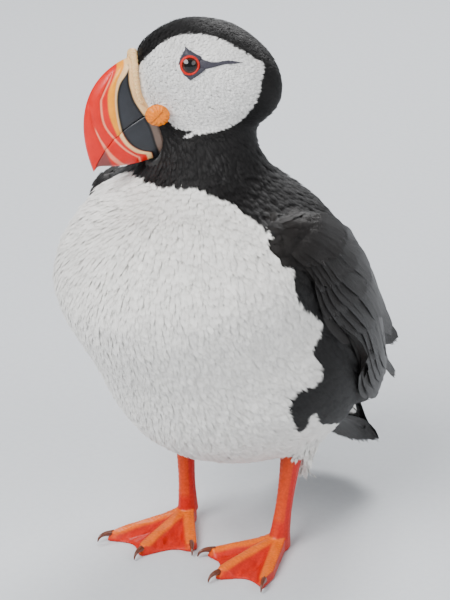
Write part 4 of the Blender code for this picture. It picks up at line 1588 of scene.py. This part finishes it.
VIEW_AZIMUTH = 39.5
VIEW_HEIGHT = 21
VIEW_DISTANCE = 1.158
VIEW_LENS, VIEW_SENSOR = 171.6, 36
VIEW_CENTRE = (-3.5, 91.2)  # right of and above the ground point, square to the view
SKY_COLOUR, SKY_STRENGTH = (0.92, 0.95, 1, 1), 0.45
FLOOR_SIZE = 40
# Lamps round the bird: azimuth and height in degrees, distance and size in metres, and power.
LIGHTS = {
    "Key light": (4, 42, 1.3, 0.8, 23),
    "Fill light": (92, 28, 1.5, 1.0, 8),
    "Back light": (205, 48, 1.4, 0.6, 20),
}


def way_to(azimuth, height):
    """The way from the bird to a place round it, from its azimuth and height in degrees."""
    azimuth, height = math.radians(azimuth), math.radians(height)
    return Vector(
        (math.sin(azimuth) * math.cos(height), -math.cos(azimuth) * math.cos(height), math.sin(height))
    )


def aim(name, data, target, away, distance):
    """Set a lamp or camera at a distance from its target, looking back at it."""
    obj = add_object(name, data)
    obj.location = target + away * distance
    obj.rotation_euler = away.to_track_quat("Z", "Y").to_euler()
    return obj


def make_camera():
    back, azimuth = way_to(VIEW_AZIMUTH, VIEW_HEIGHT), math.radians(VIEW_AZIMUTH)
    right = Vector((math.cos(azimuth), math.sin(azimuth), 0))
    target = GROUND + (right * VIEW_CENTRE[0] + back.cross(right) * VIEW_CENTRE[1]) * MM
    lens = bpy.data.cameras.new("Camera")
    lens.lens, lens.sensor_width, lens.clip_start, lens.clip_end = VIEW_LENS, VIEW_SENSOR, 0.05, 20
    bpy.context.scene.camera = aim("Camera", lens, target, back, VIEW_DISTANCE)
    return target


def make_studio():
    target = make_camera()
    for name, (azimuth, height, distance, size, power) in LIGHTS.items():
        light = bpy.data.lights.new(name, "AREA")
        light.shape, light.size, light.energy = "DISK", size, power
        aim(name, light, target, way_to(azimuth, height), distance)
    world = bpy.data.worlds.new("Soft studio")
    world.use_nodes = True
    glow = world.node_tree.nodes["Background"].inputs
    glow["Color"].default_value, glow["Strength"].default_value = SKY_COLOUR, SKY_STRENGTH
    bpy.context.scene.world = world
    floor = basic_shape("Floor", bpy.ops.mesh.primitive_plane_add, size=FLOOR_SIZE, location=(0, 0, 0))
    # Pale matt paper, a little uneven in tone.
    paper = two_tone_material("Pale studio paper", "paper", 3, 2, Roughness=0.95)
    floor.data.materials.append(paper)


# ---- the whole bird ----


def make_puffin():
    rng = np.random.default_rng(SEED + 2)
    tree, owners = solid_tree(*FLESH)
    skin_piece = make_skin()
    regions, depths = sink_skin(skin_piece, tree, owners)
    unwrap(skin_piece)
    points, normals = mesh_points(skin_piece.data), mesh_normals(skin_piece.data)
    # Painted shade: the skin takes the plumage's colours made darker, for the shade under the feathers.
    set_colours(skin_piece.data, "Plumage", plumage_colours(points, normals, regions) * SKIN_SHADE)
    skin_piece.data.shade_smooth()
    finish_piece(skin_piece, skin_material(), "black_plumage", *FLESH)
    skin = Skin(skin_piece, regions, depths)
    materials = {
        "white": plumage_material("White breast plumage", 0.75, 0.3, 0.2, 0.35),
        "black": plumage_material("Black back plumage", 0.5, 0.2, 0.05, 0.4),
        "flight": plumage_material("Flight feathers", 0.42, 0.25, 0.03, 0.5),
    }
    body_plumage(skin, materials)
    flight_feathers(skin, tree, materials)
    horn = horn_material()
    make_bill_half("upper", CULMEN, 1, horn)
    make_bill_half("lower", GONYS, -1, horn)
    soft = skin_of("Fleshy bill skin", 0.55, 0.12, 0.42, 0.15)
    lid_skin = skin_of("Lid skin", 0.4, 0.08, 0.4, 0.1)
    plate_horn = skin_of("Eye plate horn", 0.5, 0.06, 0.5, 0.0)
    scaled = skin_of("Scaled foot skin", 0.9, 0.1, 0.42, 0.12)
    # Claw horn is dark, smooth and glossy, mottled with a paler brown.
    claw = two_tone_material("Claw horn", "claw", 1.5, 3, Roughness=0.3, Coat_Weight=0.2, IOR=1.55)
    make_cere(soft, rng)
    for side in SIDES:
        make_rosette(side, soft)
        make_eye(side)
        make_lid(side, lid_skin, rng)
        for name in EYE_PATCHES:
            raised_patch(name, side, skin, plate_horn)
        make_leg(side, scaled)
        make_claws(side, claw)


make_studio()
make_puffin()
